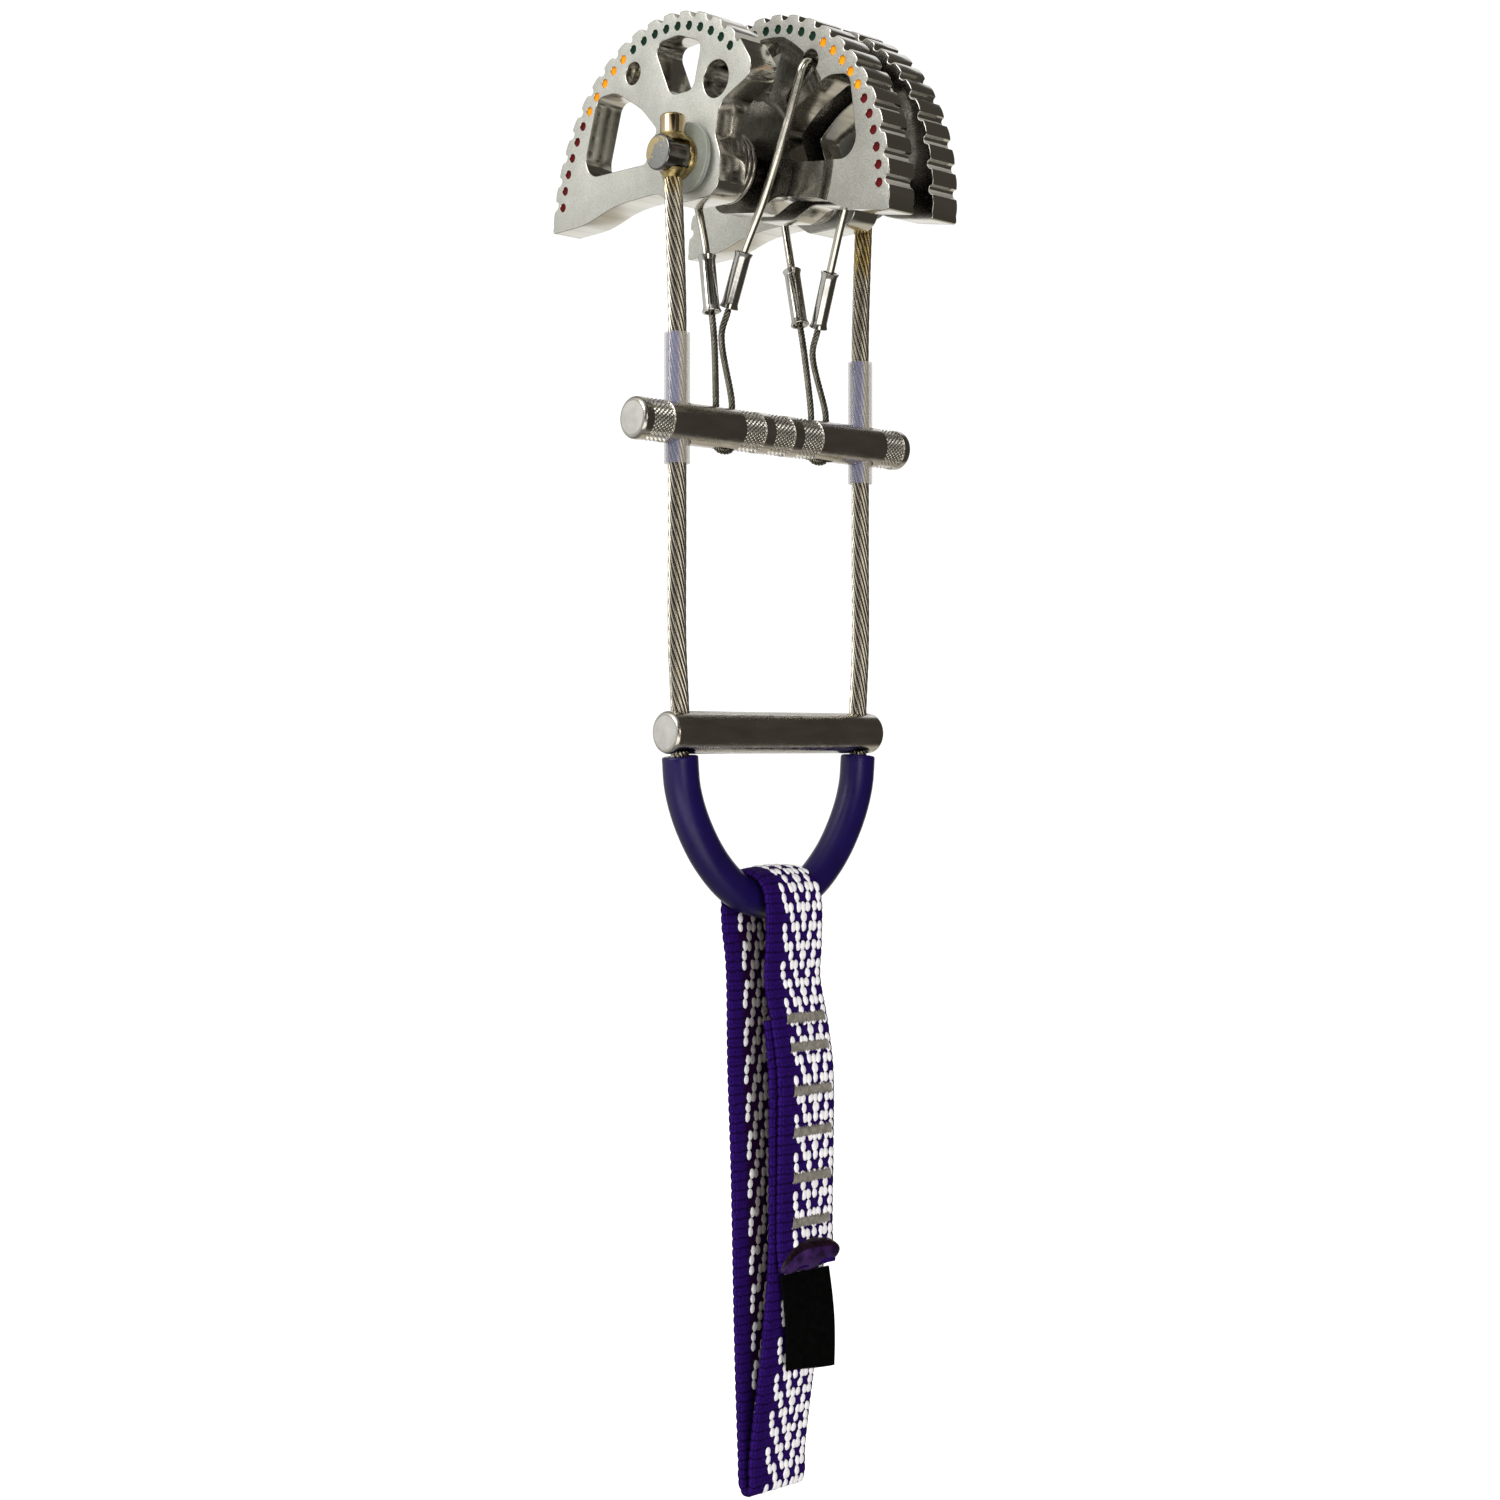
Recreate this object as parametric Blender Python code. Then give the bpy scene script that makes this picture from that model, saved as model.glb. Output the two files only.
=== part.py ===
"""Spring-loaded camming device: four cams on one axle, a cable stem, a trigger and a sewn sling.

The axle runs along X with its centre at the origin, the stem hangs down along -Z, and the cams
open towards +Y and -Y.  Every named size is in millimetres; MM turns it into Blender's metres.
"""
import math

import bmesh
import bpy
from mathutils import Matrix, Vector

MM = 0.001

# ---------------------------------------------------------------- driving dimensions
GAP = 0.3                      # clearance between neighbouring solids

# axle and what is brazed to it
AXLE_RADIUS = 2.95
AXLE_HALF_LENGTH = 25.9
AXLE_ROUNDING = 0.25
AXLE_BORE = AXLE_RADIUS + GAP
CABLE_AXLE_X = 22.5            # where the stem cable passes through the axle
CAP_RADIUS = 2.15
CAP_ROUNDING = 0.4
CAP_BASE = 1.5
CAP_TOP = 6.7

# washers, spacer and springs on the axle
WASHER_RADIUS = 5.8
WASHER_INNER_X = 19.05
WASHER_THICKNESS = 1.2
SPACER_RADIUS = 4.6
SPRING_COIL_RADIUS = 5.5
SPRING_WIRE_RADIUS = 0.45
SPRING_TURNS = 3.25
SPRING_CENTRE_X = 10.6
SPRING_PITCH = 1.05
SPRING_LEG = 2.6

# cams: a logarithmic spiral with rounded grooves
CAM_THICKNESS = 5.8
OUTER_CAM_X = 15.9             # middle of the outer cams' thickness
INNER_CAM_X = 5.1              # middle of the inner cams' thickness
CAM_TIP_RADIUS = 36.6
CAM_TIP_ANGLE = -8.0           # degrees above +Y at rest
CAM_ANGLE = 13.25              # degrees, the constant angle of the spiral
TOOTH_PITCH = 4.2
FIRST_GROOVE = 3.4             # arc length from the tip to the first groove
GROOVE_COUNT = 16
GROOVE_HALF_WIDTH = 0.85
GROOVE_DEPTH = 0.85
LAND_CROWN = 0.14
INNER_CAM_RETRACTED = 9.6      # degrees that the inner cams sit further closed
WIRE_HOLE = (14.55, 17.3)      # where a pull wire hooks into an outer cam
WIRE_HOLE_RADIUS = 1.9
ROUND_HOLE = (-6.35, 12.0)
ROUND_HOLE_RADIUS = 3.05

# stem: one cable from the axle round a loop and back to the axle
CABLE_RADIUS = 1.55
STEM_X = 21.6                  # straight stretch that the trigger runs on
THUMB_X = 21.0
THUMB_Z = -94.7
THUMB_RADIUS = 3.55
THUMB_HALF_LENGTH = 24.3
CABLE_HOLE_RADIUS = 1.95
LOOP_TUBE_RADIUS = 3.03
LOOP_TUBE_BORE = 1.9
LOOP_BOTTOM_Z = -123.4

# trigger
TRIGGER_Z = -43.8
TRIGGER_RADIUS = 3.5
TRIGGER_HALF_LENGTH = 31.3
RIM_ROUNDING = 0.8
SLEEVE_RADIUS = 2.15
SLEEVE_BORE = 1.87
SLEEVE_TOP_Z = -29.0
SLEEVE_BOTTOM_Z = -50.5
CORD_RADIUS = 0.6              # thin trigger cable
CORD_HOLE_RADIUS = 0.9
CORD_SLOT_TOP_Z = -45.6
CORD_SLOT_SPARE = 0.2          # how much wider the slot is than the holes, each side
CORD_U_Z = -47.9
CORD_BEND_RADIUS = 1.1

# ferrules and stiff pull wires
FERRULE_RADIUS = 1.4
FERRULE_FLARE_RADIUS = 1.65
FERRULE_BORE = 1.05
FERRULE_FLARE_LENGTH = 0.7
PULL_WIRE_RADIUS = 0.7
WIRE_PIVOT_Z = -40.0           # where the thin cables bend, just above the trigger bar

# sling
WEBBING_WIDTH = 13.0
LABEL_LEFT_X = -4.7
LABEL_RIGHT_X = 6.7

# Hand-laid routes of the four pull wires, from the ferrule's lower end up to the cam's hole.
# "hole_x" is the trigger bar's hole that the thin cable below the ferrule comes out of.
PULL_WIRES = {
    "outer_left": {
        "hole_x": -13.0,
        "ferrule": [(-12.6, 1.45, -24.25), (-12.3, 3.05, -14.6)],
        "wire": [(-12.05, 5.9, -4.65), (-12.0, 10.2, 6.4), (-12.0, *WIRE_HOLE)],
    },
    "inner_left": {
        "hole_x": -9.4,
        "ferrule": [(-9.3, 0.85, -23.2), (-9.25, -2.8, -14.4)],
        "wire": [(-9.2, -7.6, -6.45), (-9.2, -13.4, 5.6), (-9.2, -17.2, 14.65)],
    },
    "outer_right": {
        "hole_x": 9.3,
        "ferrule": [(9.35, 2.75, -23.5), (10.1, 5.6, -13.5)],
        "wire": [(11.2, 8.9, -3.0), (12.0, 12.2, 8.0), (12.0, *WIRE_HOLE)],
    },
    "inner_right": {
        "hole_x": 12.9,
        "ferrule": [(12.65, 1.6, -23.75), (11.6, -2.4, -14.8)],
        "wire": [(10.2, -7.6, -4.2), (9.2, -13.0, 5.8), (9.2, -17.2, 14.65)],
    },
}

# Hand-laid route of one side of the stem, from the axle down to the loop's lowest point.
STEM_ROUTE = [
    (CABLE_AXLE_X, 2.9), (CABLE_AXLE_X - 0.05, -4.0), (22.0, -14.0), (STEM_X, -25.0), (STEM_X, -44.0),
    (STEM_X, -62.0), (STEM_X, -80.0), (THUMB_X, -91.0), (THUMB_X, -98.6), (20.4, -104.0),
    (18.2, -109.9), (13.7, -116.6), (7.6, -121.6), (0.0, LOOP_BOTTOM_Z),
]
LOOP_ROUTE_START = 8           # index in STEM_ROUTE where the covering tube begins


# ---------------------------------------------------------------- modelling helpers
def clear_scene():
    for old in list(bpy.data.objects):
        bpy.data.objects.remove(old, do_unlink=True)


def material(name, color, metallic, roughness, alpha=1.0):
    made = bpy.data.materials.new(name)
    made.use_nodes = True
    shader = made.node_tree.nodes["Principled BSDF"]
    shader.inputs["Base Color"].default_value = (*color, 1.0)
    shader.inputs["Metallic"].default_value = metallic
    shader.inputs["Roughness"].default_value = roughness
    shader.inputs["Alpha"].default_value = alpha
    return made


def pivot(name, origin, parent=None):
    """An empty on a joint's axis, with its origin in millimetres in the world."""
    empty = bpy.data.objects.new(name, None)
    bpy.context.collection.objects.link(empty)
    empty["origin"] = origin
    shift = Vector(origin) - (Vector(parent["origin"]) if parent else Vector())
    empty.location = shift * MM
    empty.parent = parent
    return empty


def link(name, data, finish, parent):
    """Put a mesh or curve under its parent, whose origin its points are measured from."""
    made = bpy.data.objects.new(name, data)
    bpy.context.collection.objects.link(made)
    data.materials.append(finish)
    made.parent = parent
    return made


def origin_of(parent):
    return Vector(parent["origin"]) if parent else Vector()


def mesh_object(name, vertices, faces, finish, parent=None, smooth_angle=35.0):
    """A mesh object from world positions in millimetres."""
    start = origin_of(parent)
    mesh = bpy.data.meshes.new(name)
    mesh.from_pydata([(Vector(point) - start) * MM for point in vertices], [], faces)
    shell = bmesh.new()
    shell.from_mesh(mesh)
    bmesh.ops.recalc_face_normals(shell, faces=shell.faces)
    shell.to_mesh(mesh)
    shell.free()
    mesh.shade_smooth()
    mesh.set_sharp_from_angle(angle=math.radians(smooth_angle))
    return link(name, mesh, finish, parent)


def filleted(corners, step=15.0):
    """A closed outline from corners (y, z, radius), with each corner rounded by an arc."""
    outline = []
    count = len(corners)
    for index, (y, z, radius) in enumerate(corners):
        here = Vector((y, z))
        back = Vector(corners[index - 1][:2]) - here
        ahead = Vector(corners[(index + 1) % count][:2]) - here
        inside = back.angle(ahead)
        turn = math.pi - inside
        if radius <= 0.0 or turn < math.radians(1.0):
            outline.append((y, z))
            continue
        trim = min(radius / math.tan(inside / 2.0), 0.49 * back.length, 0.49 * ahead.length)
        start = here + back.normalized() * trim
        end = here + ahead.normalized() * trim
        radius = trim * math.tan(inside / 2.0)
        towards = (back.normalized() + ahead.normalized()).normalized()
        centre = here + towards * (radius / math.sin(inside / 2.0))
        pieces = max(1, round(math.degrees(turn) / step))
        first = start - centre
        side = 1.0 if first.cross(end - centre) > 0.0 else -1.0
        for piece in range(pieces + 1):
            angle = side * turn * piece / pieces
            outline.append(tuple(centre + Matrix.Rotation(angle, 2) @ first))
    return outline


def circle(y, z, radius, sides):
    turn = 2.0 * math.pi / sides
    return [(y + radius * math.cos(turn * i), z + radius * math.sin(turn * i)) for i in range(sides)]


def plate(name, outline, holes, x_low, x_high, finish, parent=None):
    """A flat plate in the YZ plane with holes, from x_low to x_high."""
    start = origin_of(parent)
    shell = bmesh.new()
    edges = []
    for loop in [outline] + holes:
        points = [Vector((x_low, y, z)) - start for y, z in loop]
        ring = [shell.verts.new(point * MM) for point in points]
        for index, corner in enumerate(ring):
            edges.append(shell.edges.new((ring[index - 1], corner)))
    filled = bmesh.ops.triangle_fill(shell, use_beauty=True, use_dissolve=False, edges=edges)
    faces = [item for item in filled["geom"] if isinstance(item, bmesh.types.BMFace)]
    grown = bmesh.ops.extrude_face_region(shell, geom=faces, use_keep_orig=True)
    moved = [item for item in grown["geom"] if isinstance(item, bmesh.types.BMVert)]
    bmesh.ops.translate(shell, verts=moved, vec=Vector((x_high - x_low, 0.0, 0.0)) * MM)
    bmesh.ops.recalc_face_normals(shell, faces=shell.faces)
    mesh = bpy.data.meshes.new(name)
    shell.to_mesh(mesh)
    shell.free()
    mesh.shade_smooth()
    mesh.set_sharp_from_angle(angle=math.radians(35.0))
    return link(name, mesh, finish, parent)


def turned(name, profile, start, end, sides, finish, parent=None, closed=False):
    """Turn a profile of (distance, radius) about the line from start to end.

    A closed profile makes a ring or a tube; an open one starts and ends on the line itself.
    """
    start = Vector(start)
    along = (Vector(end) - start).normalized()
    helper = Vector((0.0, 1.0, 0.0)) if abs(along.y) < 0.7 else Vector((1.0, 0.0, 0.0))
    across = along.cross(helper).normalized()
    up = along.cross(across)
    vertices = []
    rings = []
    for distance, radius in profile:
        centre = start + along * distance
        if radius == 0.0:
            rings.append([len(vertices)] * sides)
            vertices.append(centre)
            continue
        rings.append([len(vertices) + i for i in range(sides)])
        for i in range(sides):
            angle = 2.0 * math.pi * i / sides
            vertices.append(centre + across * radius * math.cos(angle) + up * radius * math.sin(angle))
    faces = []
    pairs = list(zip(rings, rings[1:]))
    if closed:
        pairs.append((rings[-1], rings[0]))
    for low, high in pairs:
        for i in range(sides):
            j = (i + 1) % sides
            corners = [low[i], low[j], high[j], high[i]]
            faces.append(list(dict.fromkeys(corners)))
    return mesh_object(name, vertices, faces, finish, parent)


def rod_profile(length, radius, rounding):
    """A solid rod whose rims are rounded."""
    profile = [(0.0, 0.0), (0.0, radius - rounding)]
    for step in (30.0, 60.0, 90.0):
        angle = math.radians(step)
        profile.append((rounding * (1.0 - math.cos(angle)), radius - rounding * (1.0 - math.sin(angle))))
    mirrored = [(length - distance, size) for distance, size in reversed(profile)]
    return profile + mirrored


def smooth_route(points, spacing):
    """Points read at about the given spacing from a smooth curve through the route's points."""
    points = [Vector(point) for point in points]
    padded = [2 * points[0] - points[1]] + points + [2 * points[-1] - points[-2]]
    knots = [0.0]
    for before, after in zip(padded, padded[1:]):
        knots.append(knots[-1] + math.sqrt((after - before).length))
    route = [points[0]]
    for index in range(1, len(padded) - 2):
        p0, p1, p2, p3 = padded[index - 1:index + 3]
        t0, t1, t2, t3 = knots[index - 1:index + 3]
        pieces = max(1, round((p2 - p1).length / spacing))
        for piece in range(1, pieces + 1):
            t = t1 + (t2 - t1) * piece / pieces
            a1 = p0.lerp(p1, (t - t0) / (t1 - t0))
            a2 = p1.lerp(p2, (t - t1) / (t2 - t1))
            a3 = p2.lerp(p3, (t - t2) / (t3 - t2))
            b1 = a1.lerp(a2, (t - t0) / (t2 - t0))
            b2 = a2.lerp(a3, (t - t1) / (t3 - t1))
            route.append(b1.lerp(b2, (t - t1) / (t2 - t1)))
    return route


def cord(name, route, radius, finish, parent=None, resolution=2):
    """A solid cord along a route: a bevelled poly curve with filled ends."""
    start = origin_of(parent)
    curve = bpy.data.curves.new(name, "CURVE")
    curve.dimensions = "3D"
    curve.bevel_depth = radius * MM
    curve.bevel_resolution = resolution
    curve.use_fill_caps = True
    spline = curve.splines.new("POLY")
    spline.points.add(len(route) - 1)
    for knot, point in zip(spline.points, route):
        knot.co = (*((Vector(point) - start) * MM), 1.0)
    return link(name, curve, finish, parent)


def piped(name, route, radius, bore, sides, finish, parent=None):
    """A hollow tube along a route that lies in the XZ plane, open at both ends."""
    vertices = []
    last = len(route) - 1
    for index, point in enumerate(route):
        along = (route[min(index + 1, last)] - route[max(index - 1, 0)]).normalized()
        inward = Vector((-along.z, 0.0, along.x))
        for size in (radius, bore):
            for i in range(sides):
                angle = 2.0 * math.pi * i / sides
                offset = inward * math.cos(angle) + Vector((0.0, 1.0, 0.0)) * math.sin(angle)
                vertices.append(point + offset * size)
    faces = []
    ring = 2 * sides
    for index in range(last):
        for i in range(sides):
            j = (i + 1) % sides
            low = index * ring
            high = low + ring
            faces.append([low + i, low + j, high + j, high + i])
            faces.append([low + sides + i, high + sides + i, high + sides + j, low + sides + j])
    for low in (0, last * ring):
        for i in range(sides):
            j = (i + 1) % sides
            faces.append([low + i, low + j, low + sides + j, low + sides + i])
    return mesh_object(name, vertices, faces, finish, parent)


def drill(target, name, start, end, radius, sides=16):
    """Cut a round hole from start to end with a hidden cutter."""
    length = (Vector(end) - Vector(start)).length
    profile = [(0.0, 0.0), (0.0, radius), (length, radius), (length, 0.0)]
    cutter = turned(name, profile, start, end, sides, target.data.materials[0], target.parent)
    subtract(target, cutter)


def subtract(target, cutter):
    cutter.hide_render = True
    cutter.display_type = "WIRE"
    cut = target.modifiers.new(cutter.name, "BOOLEAN")
    cut.operation = "DIFFERENCE"
    cut.object = cutter


# ---------------------------------------------------------------- axle group
def make_axle(finish):
    start = (-AXLE_HALF_LENGTH, 0.0, 0.0)
    end = (AXLE_HALF_LENGTH, 0.0, 0.0)
    profile = rod_profile(2.0 * AXLE_HALF_LENGTH, AXLE_RADIUS, AXLE_ROUNDING)
    axle = turned("axle", profile, start, end, 24, finish)
    reach = AXLE_RADIUS + 1.0
    for side, sign in (("left", -1), ("right", 1)):
        x = sign * CABLE_AXLE_X
        drill(axle, f"axle_cut_{side}", (x, 0.0, -reach), (x, 0.0, reach), CABLE_HOLE_RADIUS)


def make_cable_cap(side, sign, finish):
    """The brazed cap over the end of the stem cable, hollowed to sit on the round axle."""
    x = sign * CABLE_AXLE_X
    profile = rod_profile(CAP_TOP - CAP_BASE, CAP_RADIUS, CAP_ROUNDING)
    cap = turned(f"cable_cap_{side}", profile, (x, 0.0, CAP_BASE), (x, 0.0, CAP_TOP), 16, finish)
    reach = CAP_RADIUS + 1.0
    drill(cap, f"cap_saddle_{side}", (x - reach, 0.0, 0.0), (x + reach, 0.0, 0.0), AXLE_BORE, 24)


def ring(name, x_inner, x_outer, radius, finish):
    length = abs(x_outer - x_inner)
    profile = [(0.0, AXLE_BORE), (0.0, radius), (length, radius), (length, AXLE_BORE)]
    return turned(name, profile, (x_inner, 0.0, 0.0), (x_outer, 0.0, 0.0), 28, finish, closed=True)


def make_rings(nylon):
    outer = WASHER_INNER_X + WASHER_THICKNESS
    ring("washer_left", -WASHER_INNER_X, -outer, WASHER_RADIUS, nylon)
    ring("washer_right", WASHER_INNER_X, outer, WASHER_RADIUS, nylon)
    half = INNER_CAM_X - CAM_THICKNESS / 2.0 - GAP
    ring("centre_spacer", -half, half, SPACER_RADIUS, nylon)


def make_spring(side, sign, finish):
    """A torsion spring between two cams, with a short leg at each end."""
    steps = round(SPRING_TURNS * 14)
    route = []
    for index in range(steps + 1):
        turn = SPRING_TURNS * index / steps
        angle = 2.0 * math.pi * turn
        x = sign * SPRING_CENTRE_X + SPRING_PITCH * (turn - SPRING_TURNS / 2.0)
        y = SPRING_COIL_RADIUS * math.sin(angle)
        z = SPRING_COIL_RADIUS * math.cos(angle)
        route.append(Vector((x, y, z)))
    first_leg = route[0] + (route[0] - route[1]).normalized() * SPRING_LEG
    last_leg = route[-1] + (route[-1] - route[-2]).normalized() * SPRING_LEG
    cord(f"spring_{side}", [first_leg] + route + [last_leg], SPRING_WIRE_RADIUS, finish, resolution=1)


# ---------------------------------------------------------------- cams
def spiral_point(arc, outward=0.0):
    """A point on the cam's working spiral, at an arc length from the tip."""
    climb = math.sin(math.radians(CAM_ANGLE))
    rate = math.tan(math.radians(CAM_ANGLE))
    radius = CAM_TIP_RADIUS - climb * arc
    angle = math.radians(CAM_TIP_ANGLE) + math.log(CAM_TIP_RADIUS / radius) / rate
    radius += outward
    return (radius * math.cos(angle), radius * math.sin(angle))


def cam_outline():
    """The outline of a cam that opens towards +Y, from the tip over the toothed edge and back."""
    points = [spiral_point(0.0), spiral_point((FIRST_GROOVE - GROOVE_HALF_WIDTH) / 2.0, LAND_CROWN)]
    groove = [(-1.0, 0.0), (-0.75, -0.6), (-0.3, -1.0), (0.3, -1.0), (0.75, -0.6), (1.0, 0.0)]
    for index in range(GROOVE_COUNT):
        arc = FIRST_GROOVE + index * TOOTH_PITCH
        for along, depth in groove:
            points.append(spiral_point(arc + along * GROOVE_HALF_WIDTH, depth * GROOVE_DEPTH))
        if index < GROOVE_COUNT - 1:
            points.append(spiral_point(arc + TOOTH_PITCH / 2.0, LAND_CROWN))
    back = [
        (-15.9, 11.6, 2.4), (-7.2, 7.9, 3.5), (-6.2, 2.9, 3.0), (-7.5, -0.6, 3.0), (-6.9, -7.0, 5.6),
        (4.2, -6.8, 3.0), (8.5, -4.2, 4.0), (19.5, -4.3, 30.0), (27.0, -6.4, 20.0), (36.6, -6.5, 0.8),
    ]
    end = points[-1]
    start = points[0]
    rounded = filleted([(*end, 0.0)] + back + [(*start, 0.0)])
    return points + rounded[1:-1]


def cam_holes():
    window = [
        (8.4, 6.6, 1.0), (11.4, 1.3, 1.3), (28.3, 1.7, 3.2), (24.0, 15.0, 2.2), (19.2, 15.0, 5.0),
        (12.4, 10.8, 12.0),
    ]
    pocket = [(9.2, 21.0, 1.7), (3.0, 21.2, 4.0), (-2.8, 18.9, 1.6), (-0.7, 11.4, 1.8), (4.9, 11.6, 2.4)]
    return [
        circle(0.0, 0.0, AXLE_BORE, 24),
        filleted(window, 22.0),
        filleted(pocket, 25.0),
        circle(*WIRE_HOLE, WIRE_HOLE_RADIUS, 14),
        circle(*ROUND_HOLE, ROUND_HOLE_RADIUS, 18),
    ]


def turned_to_minus_y(loop, degrees):
    """Mirror an outline to the -Y side after closing it by some degrees."""
    angle = math.radians(-degrees)
    moved = []
    for y, z in loop:
        y_turned = y * math.cos(angle) - z * math.sin(angle)
        z_turned = y * math.sin(angle) + z * math.cos(angle)
        moved.append((-y_turned, z_turned))
    return moved


def make_cam(name, centre_x, opens_to_plus_y, finish):
    outline = cam_outline()
    holes = cam_holes()
    if not opens_to_plus_y:
        outline = turned_to_minus_y(outline, INNER_CAM_RETRACTED)
        holes = [turned_to_minus_y(hole, INNER_CAM_RETRACTED) for hole in holes]
    hub = pivot(f"{name}_pivot", (centre_x, 0.0, 0.0))
    half = CAM_THICKNESS / 2.0
    plate(name, outline, holes, centre_x - half, centre_x + half, finish, hub)


# ---------------------------------------------------------------- stem
def stem_side(sign, last=None):
    return [Vector((sign * x, 0.0, z)) for x, z in STEM_ROUTE[:last]]


def make_stem_cable(finish):
    down = stem_side(-1)
    up = stem_side(1)[:-1]
    route = smooth_route(down + up[::-1], 4.2)
    cord("stem_cable", route, CABLE_RADIUS, finish, resolution=3)


def make_loop_tube(finish):
    down = stem_side(-1)[LOOP_ROUTE_START:]
    up = stem_side(1)[LOOP_ROUTE_START:-1]
    route = smooth_route(down + up[::-1], 4.2)
    piped("loop_tube", route, LOOP_TUBE_RADIUS, LOOP_TUBE_BORE, 14, finish)


def make_thumb_bar(finish):
    start = (-THUMB_HALF_LENGTH, 0.0, THUMB_Z)
    end = (THUMB_HALF_LENGTH, 0.0, THUMB_Z)
    bar = turned("thumb_bar", rod_profile(2.0 * THUMB_HALF_LENGTH, THUMB_RADIUS, RIM_ROUNDING),
                 start, end, 28, finish)
    high = THUMB_Z + THUMB_RADIUS + 1.0
    low = THUMB_Z - THUMB_RADIUS - 1.0
    for side, sign in (("left", -1), ("right", 1)):
        x = sign * THUMB_X
        drill(bar, f"thumb_cut_{side}", (x, 0.0, low), (x, 0.0, high), CABLE_HOLE_RADIUS)


# ---------------------------------------------------------------- trigger
def make_trigger_bar(finish, trigger):
    start = (-TRIGGER_HALF_LENGTH, 0.0, TRIGGER_Z)
    end = (TRIGGER_HALF_LENGTH, 0.0, TRIGGER_Z)
    bar = turned("trigger_bar", rod_profile(2.0 * TRIGGER_HALF_LENGTH, TRIGGER_RADIUS, RIM_ROUNDING),
                 start, end, 28, finish, trigger)
    high = TRIGGER_Z + TRIGGER_RADIUS + 1.5
    low = TRIGGER_Z - TRIGGER_RADIUS - 1.5
    for side, sign in (("left", -1), ("right", 1)):
        x = sign * STEM_X
        drill(bar, f"sleeve_cut_{side}", (x, 0.0, low), (x, 0.0, high), SLEEVE_RADIUS + GAP)
    for name, wire in PULL_WIRES.items():
        x = wire["hole_x"]
        drill(bar, f"cord_cut_{name}", (x, 0.0, low), (x, 0.0, high), CORD_HOLE_RADIUS, 10)
    for side in ("left", "right"):
        slot_between_cord_holes(bar, side, trigger)


def slot_between_cord_holes(bar, side, trigger):
    """The groove under the bar that the thin cable's bend lies in."""
    ends = sorted(wire["hole_x"] for name, wire in PULL_WIRES.items() if name.endswith(side))
    half = CORD_HOLE_RADIUS + CORD_SLOT_SPARE
    floor = TRIGGER_Z - TRIGGER_RADIUS - 1.5
    outline = [(-half, floor), (half, floor), (half, CORD_SLOT_TOP_Z), (-half, CORD_SLOT_TOP_Z)]
    finish = bar.data.materials[0]
    cutter = plate(f"cord_slot_{side}", outline, [], ends[0] - half, ends[1] + half, finish, trigger)
    subtract(bar, cutter)


def make_sleeve(side, sign, finish, trigger):
    x = sign * STEM_X
    length = SLEEVE_TOP_Z - SLEEVE_BOTTOM_Z
    profile = [(0.0, SLEEVE_BORE), (0.0, SLEEVE_RADIUS), (length, SLEEVE_RADIUS), (length, SLEEVE_BORE)]
    turned(f"sleeve_{side}", profile, (x, 0.0, SLEEVE_BOTTOM_Z), (x, 0.0, SLEEVE_TOP_Z), 20, finish,
           trigger, closed=True)


def make_trigger_loop(side, finish, trigger):
    """One thin cable: down from a ferrule, round under the bar and up to the next ferrule."""
    wires = [wire for name, wire in PULL_WIRES.items() if name.endswith(side)]
    first, last = sorted(wires, key=lambda wire: wire["hole_x"])
    route = thin_cable_run(first)
    corner = CORD_BEND_RADIUS
    bend_top = CORD_U_Z + corner
    for x, inward in ((first["hole_x"], 1.0), (last["hole_x"], -1.0)):
        bend = [Vector((x, 0.0, bend_top)),
                Vector((x + inward * corner * 0.3, 0.0, bend_top - corner * 0.7)),
                Vector((x + inward * corner, 0.0, CORD_U_Z))]
        route += bend if inward > 0.0 else bend[::-1]
    route += thin_cable_run(last)[::-1]
    cord(f"trigger_loop_{side}", route, CORD_RADIUS, finish, trigger)


def thin_cable_run(wire):
    """The thin cable from just below a ferrule down through its hole in the trigger bar."""
    low, high = (Vector(point) for point in wire["ferrule"])
    upward = (high - low).normalized()
    start = low - upward * 2.0 * GAP
    leaning = start - upward * 4.0
    x = wire["hole_x"]
    above_hole = (x, 0.0, WIRE_PIVOT_Z + 1.0)
    in_hole = (x, 0.0, WIRE_PIVOT_Z - 2.0)
    return smooth_route([start, leaning, above_hole, in_hole], 2.4)


# ---------------------------------------------------------------- ferrules and pull wires
def make_ferrule(name, low, high, finish, swing):
    """A swaged ferrule: a short tube with a small flare at each end."""
    length = (Vector(high) - Vector(low)).length
    flare = FERRULE_FLARE_LENGTH
    profile = [
        (0.0, FERRULE_BORE), (0.0, FERRULE_FLARE_RADIUS), (flare, FERRULE_RADIUS),
        (length - flare, FERRULE_RADIUS), (length, FERRULE_FLARE_RADIUS), (length, FERRULE_BORE),
    ]
    turned(f"ferrule_{name}", profile, low, high, 14, finish, swing, closed=True)


def make_pull_wire(name, wire, steel, bright, trigger):
    low, high = (Vector(point) for point in wire["ferrule"])
    swing = pivot(f"wire_{name}_pivot", (wire["hole_x"], 0.0, WIRE_PIVOT_Z), trigger)
    make_ferrule(name, low, high, bright, swing)
    inside = high.lerp(low, 0.35)
    route = smooth_route([inside, high] + wire["wire"], 3.2)
    cord(f"pull_wire_{name}", route, PULL_WIRE_RADIUS, steel, swing)


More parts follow.
